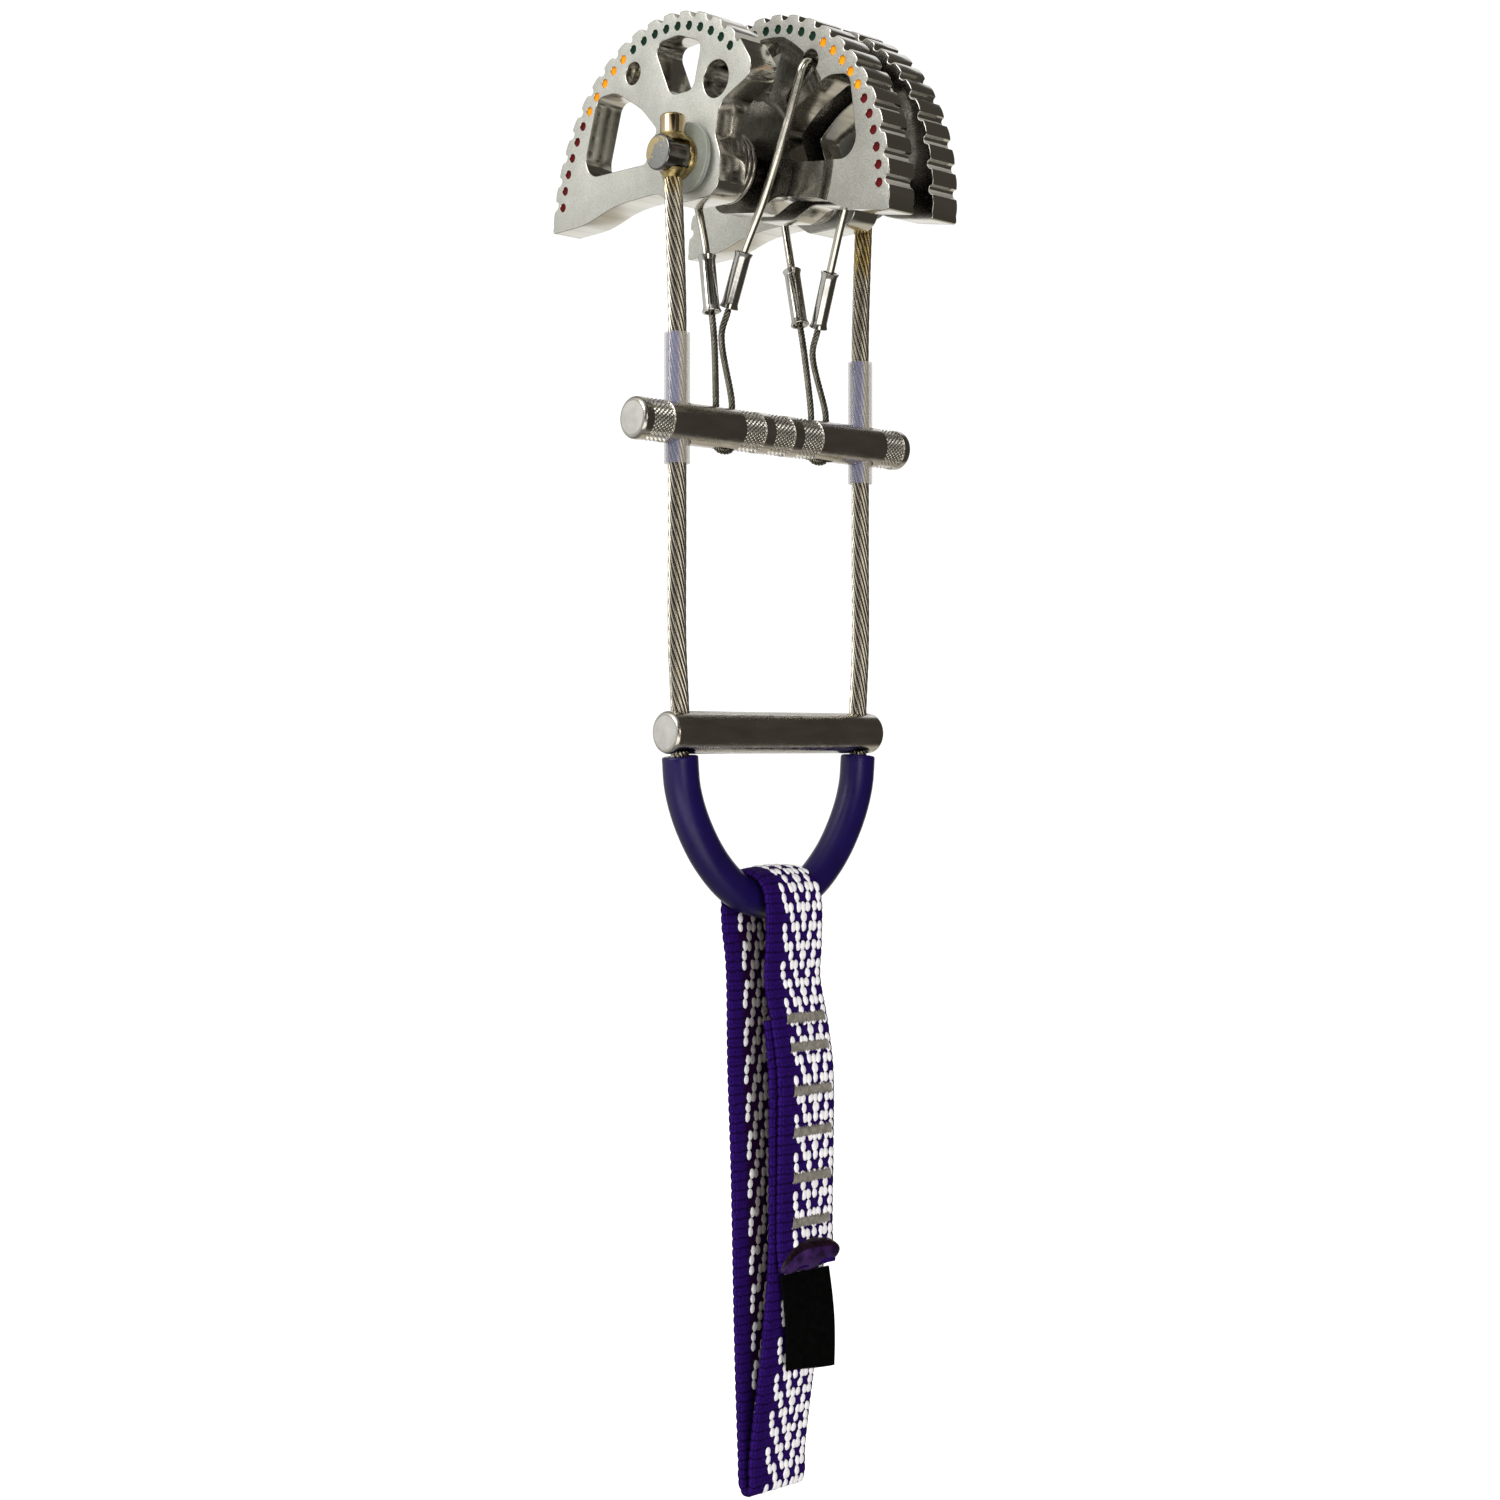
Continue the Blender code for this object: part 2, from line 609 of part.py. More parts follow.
# ---------------------------------------------------------------- sling
def make_sling(webbing, satin):
    """The sewn webbing loop and its label, which swing about the loop tube's lowest point."""
    hang = pivot("sling_pivot", (0.0, 0.0, LOOP_BOTTOM_Z))
    top = LOOP_BOTTOM_Z + 6.3
    outside = [
        (6.3, top, 6.2), (-6.3, top, 6.2), (-6.3, -129.0, 6.0), (-5.1, -136.0, 12.0), (-8.4, -152.0, 25.0),
        (-8.4, -177.0, 12.0), (-9.1, -184.6, 0.4), (-6.8, -184.8, 0.3), (-4.5, -204.0, 40.0),
        (-2.1, -219.5, 15.0), (-2.2, -224.2, 2.0), (2.2, -224.2, 2.0), (2.2, -219.0, 15.0),
        (3.4, -188.0, 60.0), (5.2, -152.0, 40.0), (5.4, -133.0, 10.0), (6.3, -128.0, 6.0),
    ]
    inside = [
        (4.6, top - 1.7, 4.55), (-4.6, top - 1.7, 4.55), (-4.6, -129.0, 6.0), (-3.2, -137.0, 2.0),
        (-3.0, -141.0, 2.0), (-4.7, -153.0, 20.0), (-5.0, -183.0, 12.0), (-2.8, -204.0, 40.0),
        (-0.4, -219.5, 10.0), (-0.5, -222.3, 0.4), (0.5, -222.3, 0.4), (0.5, -219.0, 15.0),
        (1.7, -188.0, 60.0), (3.5, -152.0, 40.0), (3.7, -133.0, 10.0), (4.6, -128.0, 6.0),
    ]
    half = WEBBING_WIDTH / 2.0
    plate("sling", filleted(outside), [filleted(inside)], -half, half, webbing, hang)
    label = [(-8.5, -185.4), (-8.0, -185.4), (-7.0, -203.5), (-7.5, -203.5)]
    plate("label", label, [], LABEL_LEFT_X, LABEL_RIGHT_X, satin, hang)


# ---------------------------------------------------------------- the whole object
def main():
    clear_scene()
    aluminium = material("cam_aluminium", (0.62, 0.62, 0.59), 1.0, 0.45)
    steel = material("bright_steel", (0.60, 0.58, 0.54), 1.0, 0.25)
    cable_steel = material("cable_steel", (0.50, 0.48, 0.44), 1.0, 0.35)
    brass = material("brazed_cap", (0.72, 0.58, 0.32), 1.0, 0.2)
    nylon = material("nylon", (0.60, 0.62, 0.55), 0.0, 0.35)
    dark_alloy = material("bar_alloy", (0.30, 0.29, 0.27), 1.0, 0.3)
    clear_tube = material("clear_sleeve", (0.80, 0.80, 0.76), 0.0, 0.15, 0.35)
    purple = material("loop_tube_plastic", (0.03, 0.01, 0.10), 0.0, 0.25)
    webbing = material("webbing", (0.04, 0.02, 0.24), 0.0, 0.8)
    satin = material("label_satin", (0.01, 0.01, 0.012), 0.0, 0.4)

    make_axle(steel)
    make_rings(nylon)
    for side, sign in (("left", -1), ("right", 1)):
        make_cable_cap(side, sign, brass)
        make_spring(side, sign, steel)
    make_cam("cam_outer_left", -OUTER_CAM_X, True, aluminium)
    make_cam("cam_inner_left", -INNER_CAM_X, False, aluminium)
    make_cam("cam_inner_right", INNER_CAM_X, False, aluminium)
    make_cam("cam_outer_right", OUTER_CAM_X, True, aluminium)

    make_stem_cable(cable_steel)
    make_loop_tube(purple)
    make_thumb_bar(dark_alloy)

    trigger = pivot("trigger_pivot", (0.0, 0.0, TRIGGER_Z))
    make_trigger_bar(dark_alloy, trigger)
    for side, sign in (("left", -1), ("right", 1)):
        make_sleeve(side, sign, clear_tube, trigger)
        make_trigger_loop(side, cable_steel, trigger)
    for name, wire in PULL_WIRES.items():
        make_pull_wire(name, wire, steel, steel, trigger)

    make_sling(webbing, satin)


main()
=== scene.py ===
# Looks of a spring-loaded camming device: four cams on one axle, cable stem, trigger and sewn sling.
import math
import random

import bmesh
import bpy
from mathutils import Matrix, Vector


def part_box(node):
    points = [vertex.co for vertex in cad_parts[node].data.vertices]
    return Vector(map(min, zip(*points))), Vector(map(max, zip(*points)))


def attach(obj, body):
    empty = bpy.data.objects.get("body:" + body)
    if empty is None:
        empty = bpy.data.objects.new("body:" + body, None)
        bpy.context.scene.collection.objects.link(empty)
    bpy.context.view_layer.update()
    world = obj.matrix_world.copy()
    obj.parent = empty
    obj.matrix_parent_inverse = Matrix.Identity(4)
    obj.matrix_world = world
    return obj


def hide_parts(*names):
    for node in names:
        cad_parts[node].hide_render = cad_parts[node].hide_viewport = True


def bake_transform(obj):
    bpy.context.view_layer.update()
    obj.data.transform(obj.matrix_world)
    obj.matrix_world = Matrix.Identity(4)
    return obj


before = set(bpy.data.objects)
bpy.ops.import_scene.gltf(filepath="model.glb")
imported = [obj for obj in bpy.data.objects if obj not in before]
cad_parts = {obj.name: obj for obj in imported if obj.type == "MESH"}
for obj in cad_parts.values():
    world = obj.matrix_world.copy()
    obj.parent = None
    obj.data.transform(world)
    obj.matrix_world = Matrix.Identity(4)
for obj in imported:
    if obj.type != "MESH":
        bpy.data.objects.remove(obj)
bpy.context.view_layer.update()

MM = 0.001
SIDES = (("left", -1), ("right", 1))

# ---------------------------------------------------------------- sizes repeated from the CAD, in mm
CABLE_RADIUS = 1.55
STEM_ROUTE = [
    (22.5, 2.9), (22.45, -4.0), (22.0, -14.0), (21.6, -25.0), (21.6, -44.0), (21.6, -62.0),
    (21.6, -80.0), (21.0, -91.0), (21.0, -98.6), (20.4, -104.0), (18.2, -109.9), (13.7, -116.6),
    (7.6, -121.6), (0.0, -123.4),
]
LOOP_ROUTE_START = 8
LOOP_TUBE_RADIUS = 3.03
LOOP_TUBE_BORE = 1.9
WIRE_HOLE = (14.55, 17.3)
PULL_WIRES = {
    "outer_left": {
        "hole_x": -13.0,
        "ferrule": [(-12.6, 1.45, -24.25), (-12.3, 3.05, -14.6)],
        "wire": [(-12.05, 5.9, -4.65), (-12.0, 10.2, 6.4), (-12.0, *WIRE_HOLE)],
    },
    "inner_left": {
        "hole_x": -9.4,
        "ferrule": [(-9.3, 0.85, -23.2), (-9.25, -2.8, -14.4)],
        "wire": [(-9.2, -7.6, -6.45), (-9.2, -13.4, 5.6), (-9.2, -17.2, 14.65)],
    },
    "outer_right": {
        "hole_x": 9.3,
        "ferrule": [(9.35, 2.75, -23.5), (10.1, 5.6, -13.5)],
        "wire": [(11.2, 8.9, -3.0), (12.0, 12.2, 8.0), (12.0, *WIRE_HOLE)],
    },
    "inner_right": {
        "hole_x": 12.9,
        "ferrule": [(12.65, 1.6, -23.75), (11.6, -2.4, -14.8)],
        "wire": [(10.2, -7.6, -4.2), (9.2, -13.0, 5.8), (9.2, -17.2, 14.65)],
    },
}
WIRE_PIVOT_Z = -40.0
PULL_WIRE_RADIUS = 0.7
THIN_CABLE_RADIUS = 0.6
THIN_HOLE_RADIUS = 0.8         # of the thin cables' holes in the trigger bar
CLEARANCE = 0.12               # round a cable or a sleeve in a bar's hole

# cams: the same logarithmic spiral, grooves and holes as the CAD
CAM_TIP_RADIUS = 36.6
CAM_TIP_ANGLE = -8.0
CAM_ANGLE = 13.25
TOOTH_PITCH = 4.2
FIRST_GROOVE = 3.4
GROOVE_COUNT = 16
GROOVE_HALF_WIDTH = 0.85
GROOVE_DEPTH = 0.85
LAND_CROWN = 0.14
INNER_CAM_RETRACTED = 9.6
AXLE_BORE = 3.25
WIRE_HOLE_RADIUS = 1.9
ROUND_HOLE = (-6.35, 12.0)
ROUND_HOLE_RADIUS = 3.05

# the painted dots beside the teeth
DOT_COUNT = 21
DOT_RADIUS = 0.80
DOT_SIDES = 20
DOT_DEPTH = 0.45
PAINT_DEPTH = 0.28
FIRST_DOT_RADIUS = 33.7        # distance of the first dot from the axle
DOT_STEP = 0.72                # how much nearer each next dot is
DOT_RATE = 0.257
FIRST_DOT_ANGLE = -3.9
RED_DOTS = 6
YELLOW_DOTS = 5

KNURL_BANDS = [(-27.2, 4.4), (-6.8, 4.5), (0.0, 4.5), (6.8, 4.5), (27.2, 4.4)]    # centre and width

WEBBING_WIDTH = 13.0
WEBBING_FACE = 0.75            # half the webbing's thickness
ROW = 1.62                     # height of one row of the weave
ROW_STEPS = 6                  # steps of the webbing's route in a row
WRAP_RADIUS = 5.45
LOOP_CENTRE_Z = -123.4
WEAVE = [                      # places of the white yarns across the webbing, row by row upwards
    (3.75, 6.7, 9.45, 11.8),
    (3.6, 5.7, 6.6, 8.1, 9.7, 10.6, 11.9),
    (5.35, 7.95, 8.3, 10.6),
    (4.15, 5.15, 7.0, 8.05, 9.1, 10.75, 11.8),
]
TACK_HEIGHTS = (7.7, 15.2, 22.9, 29.8, 37.0, 41.8)   # rows of stitches above the sewn end

# ---------------------------------------------------------------- camera, light and finishes
CAMERA_LENS = 54.78
CAMERA_PLACE = (-0.26952, -0.28217, -0.09656)
CAMERA_TURN = (90.0 - 0.156, 0.0, -43.13)
LIGHT_AIM = Vector((0.0, 0.0, -0.08))
LIGHTS = (
    # name, place, size, power, whether polished metal mirrors it
    ("left", (-1.25, 0.20, 0.75), 0.8, 7.5, True),
    ("front", (-0.62, -1.25, -0.02), 0.85, 18.0, False),
)
FLOOR_REACH = 6.0
FLOOR_HEIGHT = -0.75
WHITE = (1.0, 1.0, 1.0)
BACKDROP_STRENGTH = 1.1
SURROUNDINGS = (0.27, 0.265, 0.25)
CARDS = (
    # direction, inner and outer half angle in degrees, colour
    ((0.684, 0.73, 0.0), 26.0, 42.0, (0.95, 0.94, 0.90)),
    ((-0.684, 0.73, 0.05), 30.0, 55.0, (0.70, 0.70, 0.67)),
    ((-0.68, -0.66, 0.33), 20.0, 30.0, (0.035, 0.034, 0.030)),
    ((-0.86, -0.25, -0.42), 11.0, 19.0, (1.90, 1.86, 1.76)),
    ((-0.66, -0.50, -0.56), 11.0, 19.0, (1.90, 1.86, 1.76)),
    ((-0.40, -0.68, -0.62), 11.0, 19.0, (1.90, 1.86, 1.76)),
    ((-0.44, -0.90, 0.04), 8.0, 15.0, (2.60, 2.48, 2.30)),
    ((-0.70, 0.10, 0.70), 22.0, 40.0, (1.10, 1.09, 1.05)),
    ((0.68, -0.70, 0.14), 54.0, 68.0, (0.066, 0.060, 0.050)),
    ((0.66, 0.28, -0.66), 14.0, 28.0, (0.60, 0.56, 0.47)),
    ((0.64, 0.46, 0.62), 8.0, 19.0, WHITE),
    ((0.684, 0.20, 0.70), 2.0, 4.5, (0.02, 0.02, 0.035)),
)
EVEN = (1.0, 1.0, 1.0)
DRAWN = (0.06, 1.0, 1.0)       # noise drawn out across the cam's teeth
BRUSHED = (0.25, 1.0, 1.0)     # noise drawn out along a bar
METALS = {
    # name, light and dark colour, roughness range, noise per metre, relief in metres, stretch, metallic
    # The next finish is a painted highlight: lighter, more diffuse metal on the upward groove walls, for
    # bright streaks of reflected light.
    "groove": ("cam_groove_wall", (0.80, 0.78, 0.72), (0.62, 0.60, 0.54), (0.34, 0.50), 1500.0, 0.00001,
               DRAWN, 0.6),
    # The next finish is painted shade: dark metal for the inner cams' back faces, recesses and slots, where
    # shade falls.
    "inside": ("cam_inner_face", (0.27, 0.26, 0.24), (0.19, 0.18, 0.16), (0.18, 0.30), 2600.0, 0.00002),
    "cut": ("cam_cut_edge", (0.74, 0.72, 0.67), (0.58, 0.56, 0.51), (0.10, 0.24), 1500.0, 0.000006, DRAWN),
    "pin": ("axle_polished", (0.24, 0.23, 0.22), (0.15, 0.14, 0.13), (0.10, 0.22), 1200.0, 0.000008),
    "braze": ("braze", (0.56, 0.43, 0.20), (0.32, 0.24, 0.10), (0.12, 0.34), 1600.0, 0.00008),
    "cap": ("brazed_cap", (0.74, 0.63, 0.46), (0.56, 0.42, 0.24), (0.05, 0.12), 900.0, 0.000006),
    "spring": ("spring_wire", (0.60, 0.57, 0.52), (0.45, 0.42, 0.38), (0.14, 0.28), 1800.0, 0.00001),
    "cable": ("cable_wire", (0.68, 0.63, 0.54), (0.46, 0.42, 0.35), (0.14, 0.26), 1500.0, 0.00001),
    # The next finish is painted shade: near-black strand faces in the gaps between the wires.
    "gap": ("cable_gap", (0.045, 0.038, 0.028), (0.025, 0.020, 0.015), (0.35, 0.55), 1500.0, 0.00001),
    "thin": ("thin_cable_wire", (0.40, 0.38, 0.32), (0.24, 0.23, 0.19), (0.24, 0.42), 2400.0, 0.00001),
    "bar": ("bar_polished", (0.66, 0.63, 0.58), (0.48, 0.45, 0.41), (0.10, 0.34), 2200.0, 0.000014, BRUSHED),
    "bar_end": ("bar_faced_end", (0.80, 0.79, 0.76), (0.68, 0.67, 0.63), (0.40, 0.55), 2600.0, 0.00001),
    "knurl": ("knurl", (0.95, 0.93, 0.87), (0.80, 0.77, 0.71), (0.12, 0.24), 2000.0, 0.00001),
    "ferrule": ("ferrule_polished", (0.66, 0.65, 0.63), (0.50, 0.49, 0.46), (0.07, 0.18), 1600.0, 0.000012),
    "wire": ("pull_wire_bright", (0.74, 0.71, 0.64), (0.58, 0.55, 0.48), (0.12, 0.24), 1800.0, 0.00001),
}
PLASTICS = {
    # name, light and dark colour, roughness range, noise per metre, relief in metres, sheen, specular
    "loop": ("loop_tube_plastic", (0.009, 0.004, 0.060), (0.007, 0.003, 0.045), (0.30, 0.40), 900.0,
             0.000004, 0.0, 0.35),
    # The next finish is painted shade: grey floats on the inner face, where the front layer shades them.
    "shaded_yarn": ("webbing_yarn_painted_shade", (0.40, 0.37, 0.36), (0.26, 0.24, 0.23), (0.55, 0.80), 5200.0,
                    0.0001, 0.05, 0.5),
    "yarn": ("webbing_white_yarn", (0.86, 0.84, 0.86), (0.70, 0.68, 0.70), (0.50, 0.75), 5200.0, 0.0001,
             0.1, 0.5),
    "tack": ("bar_tack_thread", (0.24, 0.22, 0.19), (0.11, 0.10, 0.08), (0.45, 0.70), 5200.0, 0.00008,
             0.1, 0.5),
    "melted": ("fused_streaks", (0.045, 0.015, 0.095), (0.004, 0.001, 0.010), (0.25, 0.50), 2600.0,
               0.00025, 0.0, 0.3),
    "fused": ("fused_end", (0.014, 0.003, 0.010), (0.003, 0.001, 0.003), (0.25, 0.50), 1800.0, 0.0003,
              0.0, 0.3),
    "label": ("label_satin", (0.0025, 0.0025, 0.0025), (0.0012, 0.0012, 0.0012), (0.50, 0.65), 4200.0,
              0.00003, 0.0, 0.04),
    "paint_red": ("paint_red", (0.13, 0.001, 0.003), (0.07, 0.001, 0.002), (0.40, 0.60), 3000.0, 0.00002,
                  0.0, 0.15),
    "paint_yellow": ("paint_yellow", (1.0, 0.40, 0.004), (0.9, 0.28, 0.002), (0.40, 0.60), 3000.0, 0.00002,
                     0.0, 0.15),
    "paint_green": ("paint_green", (0.001, 0.030, 0.014), (0.001, 0.018, 0.009), (0.40, 0.60), 3000.0,
                    0.00002, 0.0, 0.15),
}


class Tree:
    """The nodes of a material or of the world, with short ways to add the ones used here."""

    def __init__(self, tree):
        self.nodes = tree.nodes
        self.links = tree.links

    def feed(self, socket, value):
        """Link a socket to another one, or set its value; a colour is given without its alpha."""
        if isinstance(value, bpy.types.NodeSocket):
            self.links.new(value, socket)
        else:
            socket.default_value = (*value, 1.0) if socket.type == "RGBA" else value

    def add(self, kind, inputs=None, **settings):
        node = self.nodes.new("ShaderNode" + kind)
        for name, value in settings.items():
            setattr(node, name, value)
        for name, value in (inputs or {}).items():
            self.feed(node.inputs[name], value)
        return node

    def grain(self, scale, stretch=EVEN, detail=4.0):
        """A noise value in the object's own space; scale counts features per metre."""
        place = self.add("Mapping", {"Vector": self.add("TexCoord").outputs["Object"], "Scale": stretch})
        look = {"Vector": place.outputs[0], "Scale": scale, "Detail": detail}
        return self.add("TexNoise", look).outputs[0]

    def ranged(self, value, low, high, start=0.3, end=0.7, **settings):
        """Map a value between start and end to low and high; the usual start and end suit a noise."""
        span = {"Value": value, "From Min": start, "From Max": end, "To Min": low, "To Max": high}
        return self.add("MapRange", span, **settings).outputs["Result"]

    def mixed(self, factor, first, second):
        """Mix two colours by a value."""
        node = self.add("Mix", {"Factor": factor, "A": first, "B": second}, data_type="RGBA")
        return node.outputs["Result"]

    def along(self, place, direction):
        """How far a position or a normal reaches along a direction."""
        return self.add("VectorMath", {0: place, 1: direction}, operation="DOT_PRODUCT").outputs["Value"]

    def height(self, direction, low, high):
        """0 to 1 across a range of positions in the object's own space, along a direction."""
        place = self.add("TexCoord").outputs["Object"]
        return self.ranged(self.along(place, direction), 0.0, 1.0, low, high)

    def maths(self, operation, *values, clamp=False):
        return self.add("Math", dict(enumerate(values)), operation=operation, use_clamp=clamp).outputs[0]


class Finish(Tree):
    """A material and its shader."""

    def __init__(self, name, colour, metallic, roughness):
        self.material = bpy.data.materials.new(name)
        self.material.use_nodes = True
        super().__init__(self.material.node_tree)
        self.shader = self.nodes["Principled BSDF"]
        self.dress({"Base Color": colour, "Metallic": metallic, "Roughness": roughness})

    def dress(self, values):
        """Give the shader's inputs numbers, colours or sockets."""
        for name, value in values.items():
            self.feed(self.shader.inputs[name], value)

    def bump(self, height, distance):
        relief = self.add("Bump", {"Height": height, "Distance": distance, "Strength": 1.0})
        self.dress({"Normal": relief.outputs["Normal"]})


def noisy(finish, light, dark, roughness, broad, fine, relief):
    """Colour from the broad noise, roughness and relief from the fine one."""
    finish.dress({"Base Color": finish.mixed(finish.ranged(broad, 0.0, 1.0), light, dark),
                  "Roughness": finish.ranged(fine, *roughness)})
    finish.bump(fine, relief)
    return finish


def make_metal(name, light, dark, roughness, scale, relief, stretch=EVEN, metallic=1.0):
    finish = Finish(name, light, metallic, roughness[0])
    broad = finish.grain(scale * 0.25, stretch)
    return noisy(finish, light, dark, roughness, broad, finish.grain(scale, stretch, 6.0), relief)


def make_plastic(name, light, dark, roughness, scale, relief, sheen, specular):
    finish = Finish(name, light, 0.0, roughness[0])
    finish.dress({"Sheen Weight": sheen, "Specular IOR Level": specular})
    broad = finish.grain(scale * 0.2)
    return noisy(finish, light, dark, roughness, broad, finish.grain(scale, detail=5.0), relief)


def make_tumbled(name, light, dark, speck_colour):
    """Tumbled aluminium: a matte light face with a fine darker speckle."""
    finish = Finish(name, light, 0.78, 0.5)
    cloud = finish.ranged(finish.grain(320.0, detail=3.0), 0.0, 1.0)
    speck = finish.grain(5200.0, detail=6.0)
    ground = finish.mixed(cloud, light, dark)
    finish.dress({"Base Color": finish.mixed(finish.ranged(speck, 0.0, 0.7), ground, speck_colour),
                  "Roughness": finish.ranged(speck, 0.44, 0.62)})
    finish.bump(speck, 0.00003)
    return finish


def stain_cable(finish):
    """Stain the strands golden for some millimetres below the braze, further down on the right."""
    steel = finish.shader.inputs["Base Color"].links[0].from_socket
    blot = finish.ranged(finish.grain(700.0), -0.5, 0.2)
    stain = finish.maths("ADD", finish.height((0.19, 0.0, 1.0), -0.0125, -0.0073), blot, clamp=True)
    finish.dress({"Base Color": finish.mixed(stain, steel, (0.70, 0.52, 0.20))})


def make_axle_end():
    """The cut end of the axle, with braze that ran over its upper rim."""
    finish = Finish("axle_end", (0.6, 0.6, 0.58), 0.9, 0.5)
    fine = finish.grain(2600.0, detail=6.0)
    blot = finish.ranged(finish.grain(1100.0), -0.35, 0.35)
    high = finish.height((0.0, 0.62, 0.78), -0.0012, 0.0034)
    film = finish.ranged(finish.maths("ADD", high, blot, clamp=True), 0.0, 1.0, 0.46, 0.54)
    steel = finish.mixed(finish.ranged(fine, 0.0, 1.0), (0.36, 0.36, 0.35), (0.27, 0.27, 0.26))
    finish.dress({"Base Color": finish.mixed(film, steel, (0.62, 0.49, 0.25)),
                  "Roughness": finish.ranged(film, 0.50, 0.34, 0.0, 1.0)})
    finish.bump(finish.maths("ADD", fine, film, clamp=True), 0.00004)
    return finish


def make_nylon():
    """Cloudy nylon that lets some light through."""
    finish = Finish("nylon_washer", (0.42, 0.45, 0.38), 0.0, 0.3)
    cloud = finish.grain(350.0)
    finish.dress({
        "Base Color": finish.mixed(finish.ranged(cloud, 0.0, 1.0), (0.42, 0.45, 0.43), (0.31, 0.32, 0.24)),
        "Roughness": finish.ranged(cloud, 0.20, 0.38),
        "Transmission Weight": 0.35,
        "Subsurface Weight": 0.15,
        "Subsurface Radius": (0.001, 0.001, 0.0008),
    })
    return finish


def make_clear_plastic():
    """Clear tube: faint across its middle, stronger at its edges, with a painted bluish reflection on one
    side.
    """
    finish = Finish("sleeve_clear", (0.4, 0.38, 0.34), 0.0, 0.12)
    normal = finish.add("NewGeometry").outputs["Normal"]
    # Painted reflection: the side facing one fixed direction turns bluish and more opaque.
    side = finish.ranged(finish.along(normal, (-0.91, -0.41, 0.0)), 0.0, 1.0, 0.72, 0.88)
    edge = finish.add("LayerWeight", {"Blend": 0.35}).outputs["Facing"]
    body = finish.ranged(edge, 0.20, 0.48, 0.1, 0.9)
    blue_reflection_alpha = finish.ranged(side, 0.0, 0.12, 0.0, 1.0)
    finish.dress({
        "Base Color": finish.mixed(side, (0.62, 0.57, 0.48), (0.27, 0.28, 0.43)),
        "Roughness": finish.ranged(finish.grain(600.0), 0.08, 0.20),
        "Alpha": finish.maths("ADD", body, blue_reflection_alpha, clamp=True),
        "IOR": 1.3,
    })
    return finish


def cloth_place(finish, axis):
    """A coordinate of the cloth: X across it, below zero on the inner face, and Y in rows along it."""
    return finish.add("SeparateXYZ", {0: finish.add("UVMap").outputs[0]}).outputs[axis]


def bands(finish, axis, width, trough, crest):
    """Soft bands across one axis of the cloth, at trough where two yarns meet and 1 from crest up."""
    wander = finish.ranged(finish.grain(1500.0, detail=2.0), -0.12, 0.12)
    shifted = finish.maths("ADD", cloth_place(finish, axis), wander)
    wave = finish.maths("SINE", finish.maths("MULTIPLY", shifted, math.pi / width))
    return finish.ranged(finish.maths("ABSOLUTE", wave), trough, 1.0, 0.0, crest)


def make_webbing_purple():
    """Purple nylon yarns: staggered ribs and fine columns, with painted shade where they dip and on most of
    the inner face.
    """
    finish = Finish("webbing_purple", (0.05, 0.01, 0.22), 0.0, 0.7)
    fine = finish.grain(6000.0, detail=5.0)
    ribs = finish.maths("MULTIPLY", bands(finish, "Y", 1.0, 0.35, 0.5), bands(finish, "Y", 0.5, 0.60, 0.5))
    weave_relief_and_shade = finish.maths("MULTIPLY", ribs, bands(finish, "X", 0.43, 0.35, 0.7))
    lit = finish.mixed(finish.ranged(fine, 0.0, 1.0), (0.029, 0.007, 0.135), (0.015, 0.003, 0.070))
    # Painted shade: the inner face's ground turns dark brown from about 3 mm across, where the front layer
    # shades it.
    inner = finish.ranged(finish.maths("MULTIPLY", cloth_place(finish, "X"), -1.0), 0.0, 1.0, 2.6, 3.4)
    lit = finish.mixed(inner, lit, (0.020, 0.003, 0.032))
    # Painted shade: near black where the yarns dip between ribs and columns; the same mask gives the relief.
    finish.dress({"Base Color": finish.mixed(weave_relief_and_shade, (0.003, 0.001, 0.012), lit),
                  "Roughness": finish.ranged(fine, 0.55, 0.8),
                  "Specular IOR Level": 0.04})
    finish.bump(finish.maths("ADD", weave_relief_and_shade, finish.ranged(fine, 0.0, 0.3), clamp=True), 0.0002)
    return finish


def make_materials():
    made = {key: make_metal(*row) for key, row in METALS.items()}
    made.update({key: make_plastic(*row) for key, row in PLASTICS.items()})
    stain_cable(made["cable"])
    made["tumbled"] = make_tumbled("cam_tumbled_face", (0.74, 0.74, 0.69), (0.66, 0.66, 0.61),
                                   (0.38, 0.38, 0.34))
    # Painted shade: a darker copy of the tumbled face, for the inner cams' faces that sit in the outer cams'
    # shade.
    made["tumbled_inner"] = make_tumbled("cam_tumbled_inner_face", (0.58, 0.57, 0.52), (0.50, 0.49, 0.45),
                                         (0.26, 0.26, 0.23))
    made["pin_end"] = make_axle_end()
    made["webbing"] = make_webbing_purple()
    made["nylon"] = make_nylon()
    made["clear"] = make_clear_plastic()
    return {key: finish.material for key, finish in made.items()}


# ---------------------------------------------------------------- camera, world, floor and lights
def placed(name, data):
    """A new object in the scene."""
    thing = bpy.data.objects.new(name, data)
    bpy.context.scene.collection.objects.link(thing)
    return thing


def make_camera():
    data = bpy.data.cameras.new("camera")
    data.lens = CAMERA_LENS
    data.sensor_width = 36.0
    data.clip_start = 0.01
    camera = placed("camera", data)
    camera.location = CAMERA_PLACE
    camera.rotation_euler = [math.radians(angle) for angle in CAMERA_TURN]
    bpy.context.scene.camera = camera


